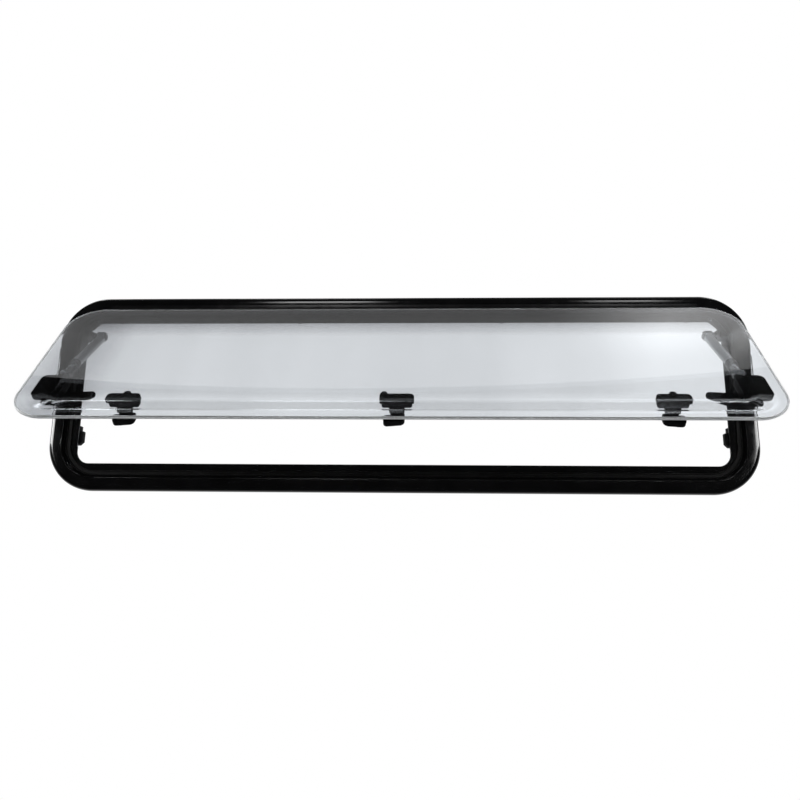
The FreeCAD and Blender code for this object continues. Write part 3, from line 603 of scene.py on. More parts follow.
    def piece(self, name: str, slot: Slot, workshop: Workshop, nodes: Iterable[str] = (),
              place: Matrix = STILL) -> bpy.types.Object:
        """Turn the form into a finished piece.

        Args:
            name: Name of the piece.
            slot: Material slot of the record.
            workshop: Where its finish is made.
            nodes: CAD nodes that it stands for.
            place: Where the piece goes in the window.

        Returns:
            The piece.
        """
        self.bm.transform(Matrix.Scale(MM, 4) @ place)
        bmesh.ops.recalc_face_normals(self.bm, faces=self.bm.faces)
        mesh = bpy.data.meshes.new(name)
        self.bm.to_mesh(mesh)
        self.bm.free()
        mesh.shade_smooth()
        mesh.set_sharp_from_angle(angle=math.radians(SMOOTH_ANGLE))
        mesh.materials.append(workshop.finish(slot))
        piece = bpy.data.objects.new(name, mesh)
        bpy.context.scene.collection.objects.link(piece)
        flatten = piece.modifiers.new("even_flats", "WEIGHTED_NORMAL")
        flatten.keep_sharp = True
        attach(piece, ROOT)
        if nodes:
            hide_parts(*nodes)
        return piece


def rectangle(left: float, right: float, low: float, high: float, radius: float = 0.0) -> list[Corner]:
    """Corners of a rectangle with equal radii."""
    return [(left, low, radius), (right, low, radius), (right, high, radius), (left, high, radius)]


@dataclass(frozen=True)
class Screw:
    """Small pan-head screw with a cross recess, standing on a face that looks inward."""

    radius: float = 2.7
    height: float = 1.6
    recess_radius: float = 1.5
    recess_arm: float = 0.38
    recess_depth: float = 0.9
    land: float = 0.3
    sunk: float = 0.4
    side_share: float = 0.35
    dome_share: Range = (0.8, 0.85)

    def add(self, form: Form, foot: Point) -> None:
        """Add one screw head to a form.

        Args:
            form: Mesh that takes it.
            foot: Middle of its underside.
        """
        before = set(form.bm.verts)
        wide, tall = self.dome_share
        form.lathe([(0.0, -self.sunk), (self.radius, -self.sunk),
                    (self.radius, self.side_share * self.height), (wide * self.radius, tall * self.height),
                    (self.recess_radius + self.land, self.height)], steps=24)
        arm, reach = self.recess_arm, self.recess_radius
        cross = form.face([(arm, arm, 0.0), (reach, arm, 0.0), (reach, -arm, 0.0), (arm, -arm, 0.0),
                           (arm, -reach, 0.0), (-arm, -reach, 0.0), (-arm, -arm, 0.0), (-reach, -arm, 0.0),
                           (-reach, arm, 0.0), (-arm, arm, 0.0), (-arm, reach, 0.0), (arm, reach, 0.0)])
        bmesh.ops.translate(form.bm, vec=(0.0, self.height, 0.0), verts=cross.verts)
        rim = list(cross.edges)
        brim = [e for v in form.added(before) for e in v.link_edges
                if e.is_boundary and e not in rim and abs(v.co.y - self.height) < SAME_PLACE]
        grown = bmesh.ops.extrude_face_region(form.bm, geom=[cross])["geom"]
        floor = [item for item in grown if isinstance(item, bmesh.types.BMVert)]
        bmesh.ops.translate(form.bm, vec=(0.0, -self.recess_depth, 0.0), verts=floor)
        for face in [f for f in form.bm.faces if len(f.verts) == len(rim)
                     and all(abs(v.co.y - self.height) < SAME_PLACE for v in f.verts)]:
            bmesh.ops.delete(form.bm, geom=[face], context="FACES_ONLY")
        bmesh.ops.triangle_fill(form.bm, edges=list(set(brim)) + rim, use_beauty=True,
                                normal=(0.0, 1.0, 0.0))
        form.move(form.added(before), Matrix.Translation(foot))


@dataclass(frozen=True)
class GripRib:
    """Rounded upright rib on the face of a handle."""

    half: float = 0.9
    corner: float = 0.85
    rise: float = 0.6
    edge: float = 0.4

    def add(self, form: Form, across: float, low: float, high: float, face: float) -> None:
        """Add one rib to a form.

        Args:
            form: Mesh that takes it.
            across: Its middle.
            low: Its lower end.
            high: Its upper end.
            face: Depth of the face that it stands on.
        """
        form.slab(rectangle(across - self.half, across + self.half, low, high, self.corner),
                  face - self.rise, face + self.rise, soft=self.edge)


@dataclass(frozen=True)
class FramePath:
    """The rounded rectangle that the frame's sections follow."""

    width: float = 1260.0
    height: float = 360.0
    bottom: float = -15.0
    radius: float = 86.0
    steps: int = 28

    @property
    def top(self) -> float:
        """Height of the frame's upper edge."""
        return self.bottom + self.height

    def sweep(self, form: Form, section: Iterable[Corner], open_from: float | None = None) -> None:
        """Carry a section round the path.

        Args:
            form: Mesh that takes the section.
            section: Depth, distance in from the outer edge, and corner radius of each point.
            open_from: Distance in from the outer edge at which the section stays open.
        """
        ring = form.face([(depth, -inset, radius) for depth, inset, radius in section])
        edges = list(ring.edges)
        verts = list(ring.verts)
        bmesh.ops.delete(form.bm, geom=[ring], context="FACES_ONLY")
        if open_from is not None:
            end = next(e for e in edges if all(abs(v.co.z + open_from) < SAME_PLACE for v in e.verts))
            edges.remove(end)
            bmesh.ops.delete(form.bm, geom=[end], context="EDGES")
        reach, rise = self.width / 2 - self.radius, self.height - 2 * self.radius
        form.move(verts, Matrix.Translation((-reach, 0.0, self.top)) @ Matrix.Rotation(math.pi / 2, 4, "Z"))
        high, low = self.top - self.radius, self.bottom + self.radius
        for way, pivot in (
            (Vector((2 * reach, 0.0, 0.0)), Vector((reach, 0.0, high))),
            (Vector((0.0, 0.0, -rise)), Vector((reach, 0.0, low))),
            (Vector((-2 * reach, 0.0, 0.0)), Vector((-reach, 0.0, low))),
            (Vector((0.0, 0.0, rise)), Vector((-reach, 0.0, high))),
        ):
            edges = form.turn(form.extrude(edges, way), pivot, self.steps)
        form.weld()


@dataclass(frozen=True)
class OuterFrame:
    """Black moulded frame with its rubber seal."""

    path: FramePath = FramePath()
    bead_width: float = 24.0
    bead_height: float = 12.0
    bead_outer_round: float = 9.5
    bead_inner_round: float = 2.5
    seat: float = -1.0
    lip_back: float = 2.5
    lip_root: float = 39.0
    lip_edge: float = 50.0
    lip_corner: float = 22.0
    lip_round: float = 1.2
    collar_out: float = 31.0
    collar_in: float = 35.0
    collar_depth: float = 28.0
    groove_width: float = 3.0
    groove_depth: float = 1.5
    pocket_half: float = 540.0
    pocket_top: float = 330.5
    pocket_over: float = 2.0
    pocket_skin: float = 0.01
    seal_from: float = 28.0
    seal_to: float = 38.0
    seal_base: float = 1.0
    seal_lip: float = 1.2
    seal_lip_width: float = 2.6
    seal_lip_round: float = 0.45
    boss_radius: float = 5.0
    boss_length: float = 20.0
    pilot_radius: float = 1.6
    pilot_depth: float = 14.0
    boss_from_side: float = 100.0
    inner_boss_pitch: float = 380.0
    screw: Screw = Screw(radius=4.0, height=2.0, recess_radius=2.2, recess_arm=0.5)
    screw_from_middle: float = 562.0
    screw_height: float = 299.0

    def build(self, workshop: Workshop) -> None:
        """Build the frame, the seal and the screws of the stays' brackets.

        Args:
            workshop: Where the finishes are made.
        """
        self._frame(workshop)
        self._seal(workshop)
        screws = Form()
        for sign in (-1, 1):
            self.screw.add(screws, (sign * self.screw_from_middle, -self.seat, self.screw_height))
        screws.piece("stay_bracket_front_screws", Slot.STAY_STEEL, workshop,
                     place=Matrix.Rotation(math.pi, 4, "Z"))

    def _frame(self, workshop: Workshop) -> None:
        """Swept bead, seat and collar, the lip with its tighter corners, and the screw bosses.

        Args:
            workshop: Where its finish is made.
        """
        form = Form()
        groove_out = self.collar_out - self.groove_width
        self.path.sweep(form, [
            (0.0, 0.0, 0.4),
            (-self.bead_height, 0.0, self.bead_outer_round),
            (-self.bead_height, self.bead_width, self.bead_inner_round),
            (self.seat, self.bead_width, 0.4),
            (self.seat, self.lip_root, 0.0),
            (self.lip_back, self.lip_root, 0.0),
            (self.lip_back, self.collar_in, 0.8),
            (self.collar_depth, self.collar_in, 0.6),
            (self.collar_depth, self.collar_out, 0.6),
            (-self.groove_depth, self.collar_out, 0.0),
            (-self.groove_depth, groove_out, 0.0),
            (0.0, groove_out, 0.3),
        ], open_from=self.lip_root)
        self._lip(form)
        piece = form.piece("outer_frame_moulding", Slot.FRAME, workshop, ["outer_frame"])
        self._cut_hinge_pocket(piece)
        self._add_bosses(piece)

    def _add_bosses(self, piece: bpy.types.Object) -> None:
        """Set the screw bosses behind the lip, after the pocket's cut, which loses shells that overlap.

        Args:
            piece: The frame with its pocket.
        """
        form = Form()
        root, floor = self.collar_depth - self.boss_length, self.collar_depth - self.pilot_depth
        boss = [(0.0, root), (self.boss_radius, root), (self.boss_radius, self.collar_depth),
                (self.pilot_radius, self.collar_depth), (self.pilot_radius, floor), (0.0, floor)]
        for across, height in self.boss_places():
            form.lathe(boss, (across, 0.0, height), soft=0.3, steps=24)
        form.bm.normal_update()
        for face in form.bm.faces:
            face.smooth = True
        for edge in form.bm.edges:
            edge.smooth = edge.calc_face_angle() <= math.radians(SMOOTH_ANGLE)
        form.bm.transform(Matrix.Scale(MM, 4))
        form.bm.from_mesh(piece.data)
        form.bm.to_mesh(piece.data)
        form.bm.free()

    def _lip(self, form: Form) -> None:
        """Carry the open seat on to a lip whose opening has tighter corners.

        Args:
            form: The frame so far, swept and still open at the lip's root.
        """
        path = self.path
        middle = (path.top + path.bottom) / 2
        drawn_in = self.lip_corner / (path.radius - self.lip_root)
        shrink = Matrix.Diagonal((drawn_in, 1.0, drawn_in, 1.0))
        rims = []
        for depth in (self.seat, self.lip_back):
            loop = [e for e in form.bm.edges
                    if e.is_boundary and all(abs(v.co.y - depth) < SEAM_GAP for v in e.verts)]
            rim = form.extrude(loop, Vector())
            verts = {vert for edge in rim for vert in edge.verts}
            for across, up in ((-1, -1), (-1, 1), (1, -1), (1, 1)):
                old, new = (
                    Vector((across * (path.width / 2 - inset), 0.0, middle + up * (path.height / 2 - inset)))
                    for inset in (path.radius, self.lip_edge + self.lip_corner))
                corner = [v for v in verts if v.co.x * across > 0.0 and (v.co.z - middle) * up > 0.0]
                verts -= set(corner)
                form.move(corner, Matrix.Translation(new) @ shrink @ Matrix.Translation(-old))
            rims.append(rim)
        bmesh.ops.bridge_loops(form.bm, edges=rims[0] + rims[1])
        bmesh.ops.recalc_face_normals(form.bm, faces=form.bm.faces)
        bmesh.ops.bevel(form.bm, geom=rims[0] + rims[1], offset=self.lip_round, offset_type="OFFSET",
                        segments=4, profile=0.5, affect="EDGES", material=-1)

    def boss_places(self) -> list[tuple[float, float]]:
        """Centres of the screw bosses.

        Returns:
            Across and up of each boss.
        """
        inset = self.collar_in + self.boss_radius / 2
        half = self.path.width / 2
        low, high = self.path.bottom + inset, self.path.top - inset
        rows = [(sign * x, z) for sign in (-1, 1) for z in (low, high)
                for x in (half - self.boss_from_side, self.inner_boss_pitch / 2)]
        return rows + [(sign * (half - inset), (low + high) / 2) for sign in (-1, 1)]

    def _cut_hinge_pocket(self, piece: bpy.types.Object) -> None:
        """Cut the pocket for the hinge rail out of the top bead.

        Args:
            piece: The finished frame.
        """
        form = Form()
        low = self.path.top - self.bead_width - self.pocket_over
        form.slab(rectangle(-self.pocket_half, self.pocket_half, low, self.pocket_top),
                  -2 * self.bead_height, self.seat - self.pocket_skin)
        form.bm.transform(Matrix.Scale(MM, 4))
        mesh = bpy.data.meshes.new("hinge_pocket")
        bmesh.ops.recalc_face_normals(form.bm, faces=form.bm.faces)
        form.bm.to_mesh(mesh)
        form.bm.free()
        tool = bpy.data.objects.new("hinge_pocket", mesh)
        bpy.context.scene.collection.objects.link(tool)
        cut = piece.modifiers.new("hinge_pocket", "BOOLEAN")
        cut.operation, cut.object, cut.solver = "DIFFERENCE", tool, "EXACT"
        piece.modifiers.move(1, 0)
        even = piece.modifiers["even_flats"]
        even.show_viewport = False
        bpy.context.view_layer.update()
        shaped = bpy.data.meshes.new_from_object(piece.evaluated_get(bpy.context.evaluated_depsgraph_get()))
        even.show_viewport = True
        piece.modifiers.remove(cut)
        old, piece.data = piece.data, shaped
        bpy.data.meshes.remove(old)
        shaped.name = piece.name
        bpy.data.objects.remove(tool)
        bpy.data.meshes.remove(mesh)

    def _seal(self, workshop: Workshop) -> None:
        """Rubber strip with two lips.

        Args:
            workshop: Where its finish is made.
        """
        form = Form()
        base, crest = self.seat - self.seal_base, self.seat - self.seal_base - self.seal_lip
        near, far, wide = self.seal_from, self.seal_to, self.seal_lip_width
        lip = self.seal_lip_round * wide
        self.path.sweep(form, [
            (self.seat, near, 0.0), (crest, near, lip), (crest, near + wide, lip), (base, near + wide, 0.3),
            (base, far - wide, 0.3), (crest, far - wide, lip), (crest, far, lip), (self.seat, far, 0.0),
        ])
        form.piece("frame_seal_strip", Slot.SEAL, workshop, ["frame_seal"])


@dataclass(frozen=True)
class Sash:
    """The swinging pane's own place: origin on the hinge line, hanging down along -Z."""

    hinge: Point = (0.0, -7.0, 325.0)
    open_angle: float = 39.2
    half_width: float = 601.8
    top: float = -7.0
    bottom: float = -319.0
    outer_face: float = -3.5
    joint: float = 0.5
    rim_back: float = 3.5
    dish_back: float = 15.5

    @property
    def place(self) -> Matrix:
        """From the sash's own place to the window's."""
        return Matrix.Translation(self.hinge) @ Matrix.Rotation(-math.radians(self.open_angle), 4, "X")


@dataclass(frozen=True)
class Pane:
    """Double acrylic pane: a flat outer sheet and a dished inner one."""

    sash: Sash = Sash()
    corner: float = 60.0
    edge_round: float = 2.0
    # Width of the painted highlight band round the outer sheet's front face.
    highlight_band: float = 3.6
    rim_side: float = 11.0
    rim_end: float = 17.5
    slope_side: float = 28.0
    slope_end: float = 39.5
    sheet: float = 3.0
    bend: float = 6.0
    bond: float = 0.08
    steps: int = 28
    sheet_edge_facing: float = 0.93
    dish_edge_facing: float = 0.4

    def outline(self, side: float, end: float) -> list[Corner]:
        """The pane's rectangle drawn in at its sides and at its top and bottom."""
        half = self.sash.half_width - side
        return rectangle(-half, half, self.sash.bottom + end, self.sash.top - end, self.corner - side)

    def build(self, workshop: Workshop) -> None:
        """Build both sheets.

        Args:
            workshop: Where the finishes are made.
        """
        flat = Form()
        flat.slab(self.outline(0.0, 0.0), self.sash.outer_face, self.sash.joint, steps=self.steps)
        edges = [e for e in flat.bm.edges
                 if all(abs(v.co.y - self.sash.outer_face) < SAME_PLACE for v in e.verts)]
        bmesh.ops.bevel(flat.bm, geom=edges, offset=self.edge_round, offset_type="OFFSET", segments=4,
                        profile=0.5, affect="EDGES", material=-1)
        # Painted sheen on the cut edges: their milky finish.
        sawn = CUT_EDGE.material()
        self._mark_edges(flat, self.sheet_edge_facing)
        front = max(flat.bm.faces, key=lambda face: -face.normal.y * face.calc_area())
        # Painted highlight: a milky band along the edge of the front face, the third material.
        for face in bmesh.ops.inset_region(flat.bm, faces=[front], thickness=self.highlight_band)["faces"]:
            face.material_index = 2
        sheet = flat.piece("pane_outer_acrylic", Slot.PANE, workshop, ["pane_outer_sheet"], self.sash.place)
        sheet.data.materials.append(sawn)
        sheet.data.materials.append(EDGE_HIGHLIGHT.material())
        self._dish(workshop, sawn)

    @staticmethod
    def _mark_edges(form: Form, facing: float) -> None:
        """Give the faces along a sheet's cut edge, which look sideways, the second material.

        Args:
            form: The sheet.
            facing: Share of a face's normal along the depth below which it is an edge.
        """
        form.bm.normal_update()
        for face in form.bm.faces:
            face.material_index = 1 if abs(face.normal.y) < facing else 0

    def _dish(self, workshop: Workshop, sawn: bpy.types.Material) -> None:
        """Rim, slope and floor as one skin, rounded at its bends, then given its thickness.

        Args:
            workshop: Where its finish is made.
            sawn: Finish of its cut edge.
        """
        form = Form()
        front = self.sash.joint + self.bond
        floor = self.sash.dish_back - self.sheet
        rings = []
        for depth, side, end in (
            (front, self.edge_round, self.edge_round),
            (front, self.rim_side, self.rim_end),
            (floor, self.rim_side + self.slope_side, self.rim_end + self.slope_end),
        ):
            face = form.face(self.outline(side, end), self.steps)
            bmesh.ops.translate(form.bm, vec=(0.0, depth, 0.0), verts=face.verts)
            rings.append(list(face.edges))
            if depth < floor:
                bmesh.ops.delete(form.bm, geom=[face], context="FACES_ONLY")
        for outer, inner in zip(rings, rings[1:]):
            bmesh.ops.bridge_loops(form.bm, edges=outer + inner)
        bmesh.ops.recalc_face_normals(form.bm, faces=form.bm.faces)
        bmesh.ops.bevel(form.bm, geom=rings[1] + rings[2], offset=self.bend, offset_type="OFFSET", segments=6,
                        profile=0.5, affect="EDGES", material=-1)
        floor_face = max(form.bm.faces, key=lambda f: f.calc_area())
        if floor_face.normal.y > 0.0:
            bmesh.ops.reverse_faces(form.bm, faces=form.bm.faces)
        bmesh.ops.solidify(form.bm, geom=form.bm.faces, thickness=self.sheet - self.bond)
        self._mark_edges(form, self.dish_edge_facing)
        sheet = form.piece("pane_inner_acrylic", Slot.PANE, workshop, ["pane_inner_sheet"], self.sash.place)
        sheet.data.materials.append(sawn)


@dataclass(frozen=True)
class Hinge:
    """Rail with a round socket along the top bead, its end caps, and the strip that holds the pane."""

    sash: Sash = Sash()
    half_length: float = 530.0
    cap_length: float = 10.0
    front: float = -11.1
    seat: float = -1.02
    low: float = 321.0
    high: float = 330.5
    socket: float = 2.7
    mouth: float = 2.0
    outer_lip: float = 0.6
    front_lip: float = 0.7
    bead: float = 2.5
    neck: float = 1.2
    crossbar: float = 1.8
    leg_wall: float = 1.5
    leg_length: float = 12.0

    def build(self, workshop: Workshop) -> None:
        """Build the rail, both caps and the strip.

        Args:
            workshop: Where the finishes are made.
        """
        _, depth, height = self.sash.hinge
        inner, outer = depth + self.socket, depth - self.socket
        rail = Form()
        rail.side_slab([
            (self.front, self.high, 1.2), (self.seat, self.high, 0.3), (self.seat, self.low, 0.3),
            (depth + self.mouth, self.low, 0.3), (inner, height - self.mouth, 1.0),
            (inner, height + self.socket, 2.6), (outer, height + self.socket, 2.6),
            (outer, height - self.outer_lip, 0.3), (self.front, height - self.front_lip, 0.5),
        ], -self.half_length, self.half_length)
        rail.piece("hinge_rail_extrusion", Slot.HINGE, workshop, ["hinge_rail"])
        for side in Side:
            cap = Form()
            cap.side_slab(rectangle(self.front, self.seat, self.low, self.high, 1.1), self.half_length,
                          self.half_length + self.cap_length, soft=0.4)
            cap.piece(f"hinge_end_cap_{side.word}_plug", Slot.HINGE, workshop, [f"hinge_end_cap_{side.word}"],
                      side.mirror)
        self._strip(workshop)

    def _strip(self, workshop: Workshop) -> None:
        """Round bead, neck and the angle over the pane's top edge.

        Args:
            workshop: Where its finish is made.
        """
        sash = self.sash
        bar, foot = sash.top + self.crossbar, sash.top - self.leg_length
        back = sash.rim_back + self.leg_wall
        form = Form()
        form.side_slab([
            (-self.neck, 0.0, 0.0), (self.neck, 0.0, 0.0), (self.neck, bar, 0.4), (back, bar, 0.6),
            (back, foot, 0.5), (sash.rim_back, foot, 0.3), (sash.rim_back, sash.top, 0.0),
            (sash.outer_face, sash.top, 0.0), (sash.outer_face, bar, 0.6), (-self.neck, bar, 0.4),
        ], -self.half_length, self.half_length)
        form.lathe([(0.0, -self.half_length), (self.bead, -self.half_length), (self.bead, self.half_length),
                    (0.0, self.half_length)], axis=Axis.ALONG, steps=24)
        form.piece("hinge_strip_extrusion", Slot.HINGE, workshop, ["hinge_strip"], sash.place)


@dataclass(frozen=True)
class Latch:
    """One latch of the bottom edge: stepped base, button, spindle and turning handle."""

    word: str
    across: float
    button_offset: float
    way: int
    sash: Sash = Sash()
    axis_height: float = -256.0
    half_width: float = 27.5
    low: float = -259.25
    high: float = -241.75
    plate_back: float = 24.5
    block_back: float = 33.0
    step: float = 3.0
    corner: float = 7.0
    edge: float = 1.5
    plate_edge: float = 0.9
    block_lift: float = 0.1
    block_sunk: float = 1.0
    screw_in: float = 6.0
    button_width: float = 12.0
    button_rise: float = 7.5
    button_near: float = 16.5
    button_far: float = 23.5
    button_sunk: float = 0.5
    button_round: float = 5.0
    button_edge: float = 1.2
    spindle: float = 12.5
    spindle_neck: float = 11.2
    spindle_sunk: float = 0.5
    spindle_chamfer: float = 0.6
    shoulder_share: float = 0.35
    handle_front: float = 46.0
    handle_back: float = 58.0
    hub: float = 12.0
    tip_height: float = 15.0
    droop: float = 8.5
    reach: float = 22.5
    handle_round: float = 2.5
    ribs: int = 3
    rib_in: float = 4.5
    rib_pitch: float = 4.0

    def build(self, workshop: Workshop) -> None:
        """Build the latch's pieces.

        Args:
            workshop: Where the finishes are made.
        """
        place = self.sash.place @ Matrix.Translation((self.across, 0.0, 0.0))
        self._base(workshop, place)
        self._button(workshop, place)
        self._spindle(workshop, place)
        self._handle(workshop, place)

    def _base(self, workshop: Workshop, place: Matrix) -> None:
        """Plate and stepped block, and the two screws that hold them.

        Args:
            workshop: Where its finish is made.
            place: From the latch's own place to the window's.
        """
        form = Form()
        at_end = self.button_offset < -self.half_width / 2
        half = self.half_width
        form.slab([(-half, self.low, self.edge), (half, self.low, self.edge), (half, self.high, self.corner),
                   (-half, self.high, self.edge if at_end else self.corner)],
                  self.sash.dish_back, self.plate_back, soft=self.plate_edge)
        inner = half - self.step
        form.slab(rectangle(-inner, inner, self.low + self.block_lift, self.high - self.step,
                            self.corner - self.step),
                  self.plate_back - self.block_sunk, self.block_back, soft=self.edge)
        form.piece(f"latch_base_{self.word}_moulding", Slot.LATCH, workshop,
                   [f"latch_base_{self.word}"], place)
        screws = Form()
        middle = (self.low + self.high - self.step) / 2
        for sign in (-1, 1):
            Screw().add(screws, (sign * (inner - self.screw_in), self.block_back, middle))
        screws.piece(f"latch_screws_{self.word}", Slot.STAY_STEEL, workshop, place=place)

    def _button(self, workshop: Workshop, place: Matrix) -> None:
        """Domed push button in the top of the base.

        Args:
            workshop: Where its finish is made.
            place: From the latch's own place to the window's.
        """
        form = Form()
        left, right = (self.button_offset + sign * self.button_width / 2 for sign in (-1, 1))
        if left < -self.half_width + self.edge:
            left += self.edge
        foot, crown, dome = self.high - self.button_sunk, self.high + self.button_rise, self.button_round
        form.slab([(left, foot, 0.0), (right, foot, 0.0), (right, crown, dome), (left, crown, dome)],
                  self.button_near, self.button_far, soft=self.button_edge)
        form.piece(f"latch_button_{self.word}_moulding", Slot.BUTTON, workshop,
                   [f"latch_button_{self.word}"], place)

    def _spindle(self, workshop: Workshop, place: Matrix) -> None:
        """Stepped round spindle between base and handle.

        Args:
            workshop: Where its finish is made.
            place: From the latch's own place to the window's.
        """
        form = Form()
        shoulder = self.block_back + self.shoulder_share * (self.handle_front - self.block_back)
        near, far = self.block_back - self.spindle_sunk, self.handle_front + self.spindle_sunk
        form.lathe([(0.0, near), (self.spindle, near), (self.spindle, shoulder),
                    (self.spindle_neck, shoulder + self.spindle_chamfer), (self.spindle_neck, far),
                    (0.0, far)], (0.0, 0.0, self.axis_height), soft=0.5)
        form.piece(f"latch_spindle_{self.word}_turning", Slot.LATCH, workshop,
                   [f"latch_spindle_{self.word}"], place)

    def _handle(self, workshop: Workshop, place: Matrix) -> None:
        """Hub and thumb tab in one plate, with grip ribs and a cap over the spindle.

        Args:
            workshop: Where its finish is made.
            place: From the latch's own place to the window's.
        """
        form = Form()
        middle = self.axis_height - self.droop
        half, hub = self.tip_height / 2, self.hub
        form.slab([(-hub, self.axis_height - hub, 0.7 * hub),
                   (self.reach, middle - half, 0.84 * half),
                   (self.reach, middle + half, 0.84 * half),
                   (0.75 * hub, middle + half, 0.4 * half),
                   (0.75 * hub, self.axis_height + hub, 0.5 * hub),
                   (-hub, self.axis_height + hub, 0.7 * hub)],
                  self.handle_front, self.handle_back, soft=self.handle_round)
        for i in range(self.ribs):
            GripRib().add(form, self.reach - self.rib_in - i * self.rib_pitch,
                          middle - 0.6 * half, middle + 0.6 * half, self.handle_back)
        form.lathe([(0.0, -0.5), (0.55 * hub, -0.5), (0.55 * hub, 0.5), (0.45 * hub, 0.9), (0.0, 0.9)],
                   (0.0, self.handle_back, self.axis_height + 1.0), soft=0.25)
        turn = Matrix.Diagonal((float(self.way), 1.0, 1.0, 1.0))
        form.piece(f"latch_handle_{self.word}_moulding", Slot.LATCH, workshop, [f"latch_handle_{self.word}"],
                   place @ turn)


@dataclass(frozen=True)
class SideLatch:
    """Latch at one end of the pane, with its wing lever, and the catch on the jamb."""

    side: Side
    sash: Sash = Sash()
    height: float = -215.0
    tall: float = 58.0
    inner: float = 547.0
    outer: float = 598.0
    plate_length: float = 14.0
    body: float = 19.5
    back: float = 31.5
    corner: float = 11.0
    small_corner: float = 4.0
    lever_height: float = -236.0
    lever_inner: float = 498.0
    lever_outer: float = 581.0
    lever_half: float = 14.5
    lever_tip: float = 8.5
    lever_rise: float = 12.0
    lever_taper: float = 30.0
    lever_back: float = 37.5
    lever_round: float = 2.0
    ribs: int = 4
    rib_in: float = 8.0
    rib_pitch: float = 4.5
    rib_ends: Range = (-5.0, 3.5)
    cap: float = 7.5
    cap_top: float = 6.2
    screws_in: Range = (15.0, 14.0)
    screw_drop: float = 9.5
    catch_screw_out: float = 2.0
    lip_back: float = 2.5
    collar: float = 595.0
    lip_edge: float = 580.0
    catch_nose: float = 574.0
    catch_shoulder: float = 579.5
    catch_low: float = 74.5
    catch_high: float = 103.5
    catch_step: float = 9.5
    catch_chamfer: float = 6.0
    catch_back: float = 12.5

    def build(self, workshop: Workshop) -> None:
        """Build base, lever and catch.

        Args:
            workshop: Where the finishes are made.
        """
        place = self.sash.place @ self.side.mirror
        self._base(workshop, place)
        self._lever(workshop, place)
        self._catch(workshop)

    def _base(self, workshop: Workshop, place: Matrix) -> None:
        """Foot plate and the rounded tongue that stands over the jamb, with its screws.

        Args:
            workshop: Where its finish is made.
            place: From the latch's own place to the window's.
        """
        form = Form()
        low, high = self.height - self.tall / 2, self.height + self.tall / 2
        form.slab(rectangle(self.inner, self.inner + self.plate_length, low, high - self.corner / 2,
                            self.small_corner), self.sash.dish_back, self.body + 0.5, soft=0.6)
        form.slab([(self.inner, low, self.small_corner), (self.outer, low, self.corner),
                   (self.outer, high, self.corner), (self.inner + 2 * self.corner, high, self.corner),
                   (self.inner, high - self.corner, self.small_corner)],
                  self.body, self.back, soft=2.0)
        form.piece(f"side_latch_base_{self.side.word}_moulding", Slot.LATCH, workshop,
                   [f"side_latch_base_{self.side.word}"], place)
        screws = Form()
        for across in (self.inner + self.screws_in[0], self.outer - self.screws_in[1]):
            Screw().add(screws, (across, self.back, high - self.screw_drop))
        screws.piece(f"side_latch_screws_{self.side.word}", Slot.STAY_STEEL, workshop, place=place)

    def _lever(self, workshop: Workshop, place: Matrix) -> None:
        """Wing with a tapered tip, grip ribs and a round pivot cap.

        Args:
            workshop: Where its finish is made.
            place: From the latch's own place to the window's.
        """
        form = Form()
        tip = self.lever_height + self.lever_rise
        low, high = self.lever_height - self.lever_half, self.lever_height + self.lever_half
        form.slab([(self.lever_inner, tip - self.lever_tip, 0.8 * self.lever_tip),
                   (self.lever_inner + self.lever_taper, low, self.lever_half),
                   (self.lever_outer, low, 0.4 * self.lever_half),
                   (self.lever_outer, high, 0.4 * self.lever_half),
                   (self.lever_inner, tip + self.lever_tip, 0.8 * self.lever_tip)],
                  self.back - 0.3, self.lever_back, soft=self.lever_round)
        for i in range(self.ribs):
            GripRib().add(form, self.lever_inner + self.rib_in + self.rib_pitch * i,
                          tip + self.rib_ends[0], tip + self.rib_ends[1], self.lever_back)
        form.lathe([(0.0, -0.6), (self.cap, -0.6), (self.cap, 1.0), (self.cap_top, 2.0), (0.0, 2.0)],
                   (self.lever_outer - self.lever_half, self.lever_back, self.lever_height), soft=0.4)
        form.piece(f"side_latch_lever_{self.side.word}_moulding", Slot.LATCH, workshop,
                   [f"side_latch_lever_{self.side.word}"], place)

    def _catch(self, workshop: Workshop) -> None:
        """Stepped block behind the jamb's lip, with its screw.

        Args:
            workshop: Where its finish is made.
        """
        form = Form()
        step = self.catch_high - self.catch_step
        heel = self.catch_low - self.catch_chamfer
        form.slab([(self.catch_nose, self.catch_low, 2.0), (self.lip_edge, heel, 2.0),
                   (self.collar, heel, 0.0), (self.collar, self.catch_high, 0.0),
                   (self.catch_shoulder, self.catch_high, 1.0), (self.catch_shoulder, step, 1.0),
                   (self.catch_nose, step, 2.0)],
                  self.lip_back, self.catch_back, soft=0.7)
        form.piece(f"side_catch_{self.side.word}_moulding", Slot.LATCH, workshop,
                   [f"side_catch_{self.side.word}"], self.side.mirror)
        screw = Form()
        across = (self.catch_nose + self.collar) / 2 + self.catch_screw_out
        Screw().add(screw, (across, self.catch_back, (self.catch_low + step) / 2))
        screw.piece(f"side_catch_screw_{self.side.word}", Slot.STAY_STEEL, workshop, place=self.side.mirror)


# Drop below the collar's radius in millimetres, and share of its length, from its upper end down.
COLLAR_RIDGES = (
    (0.5, 0.0), (0.0, 0.06), (0.0, 0.26), (0.6, 0.3), (0.6, 0.36), (0.0, 0.4),
    (0.0, 0.56), (0.6, 0.6), (0.6, 0.66), (0.0, 0.7), (0.0, 0.94), (0.5, 1.0),
)


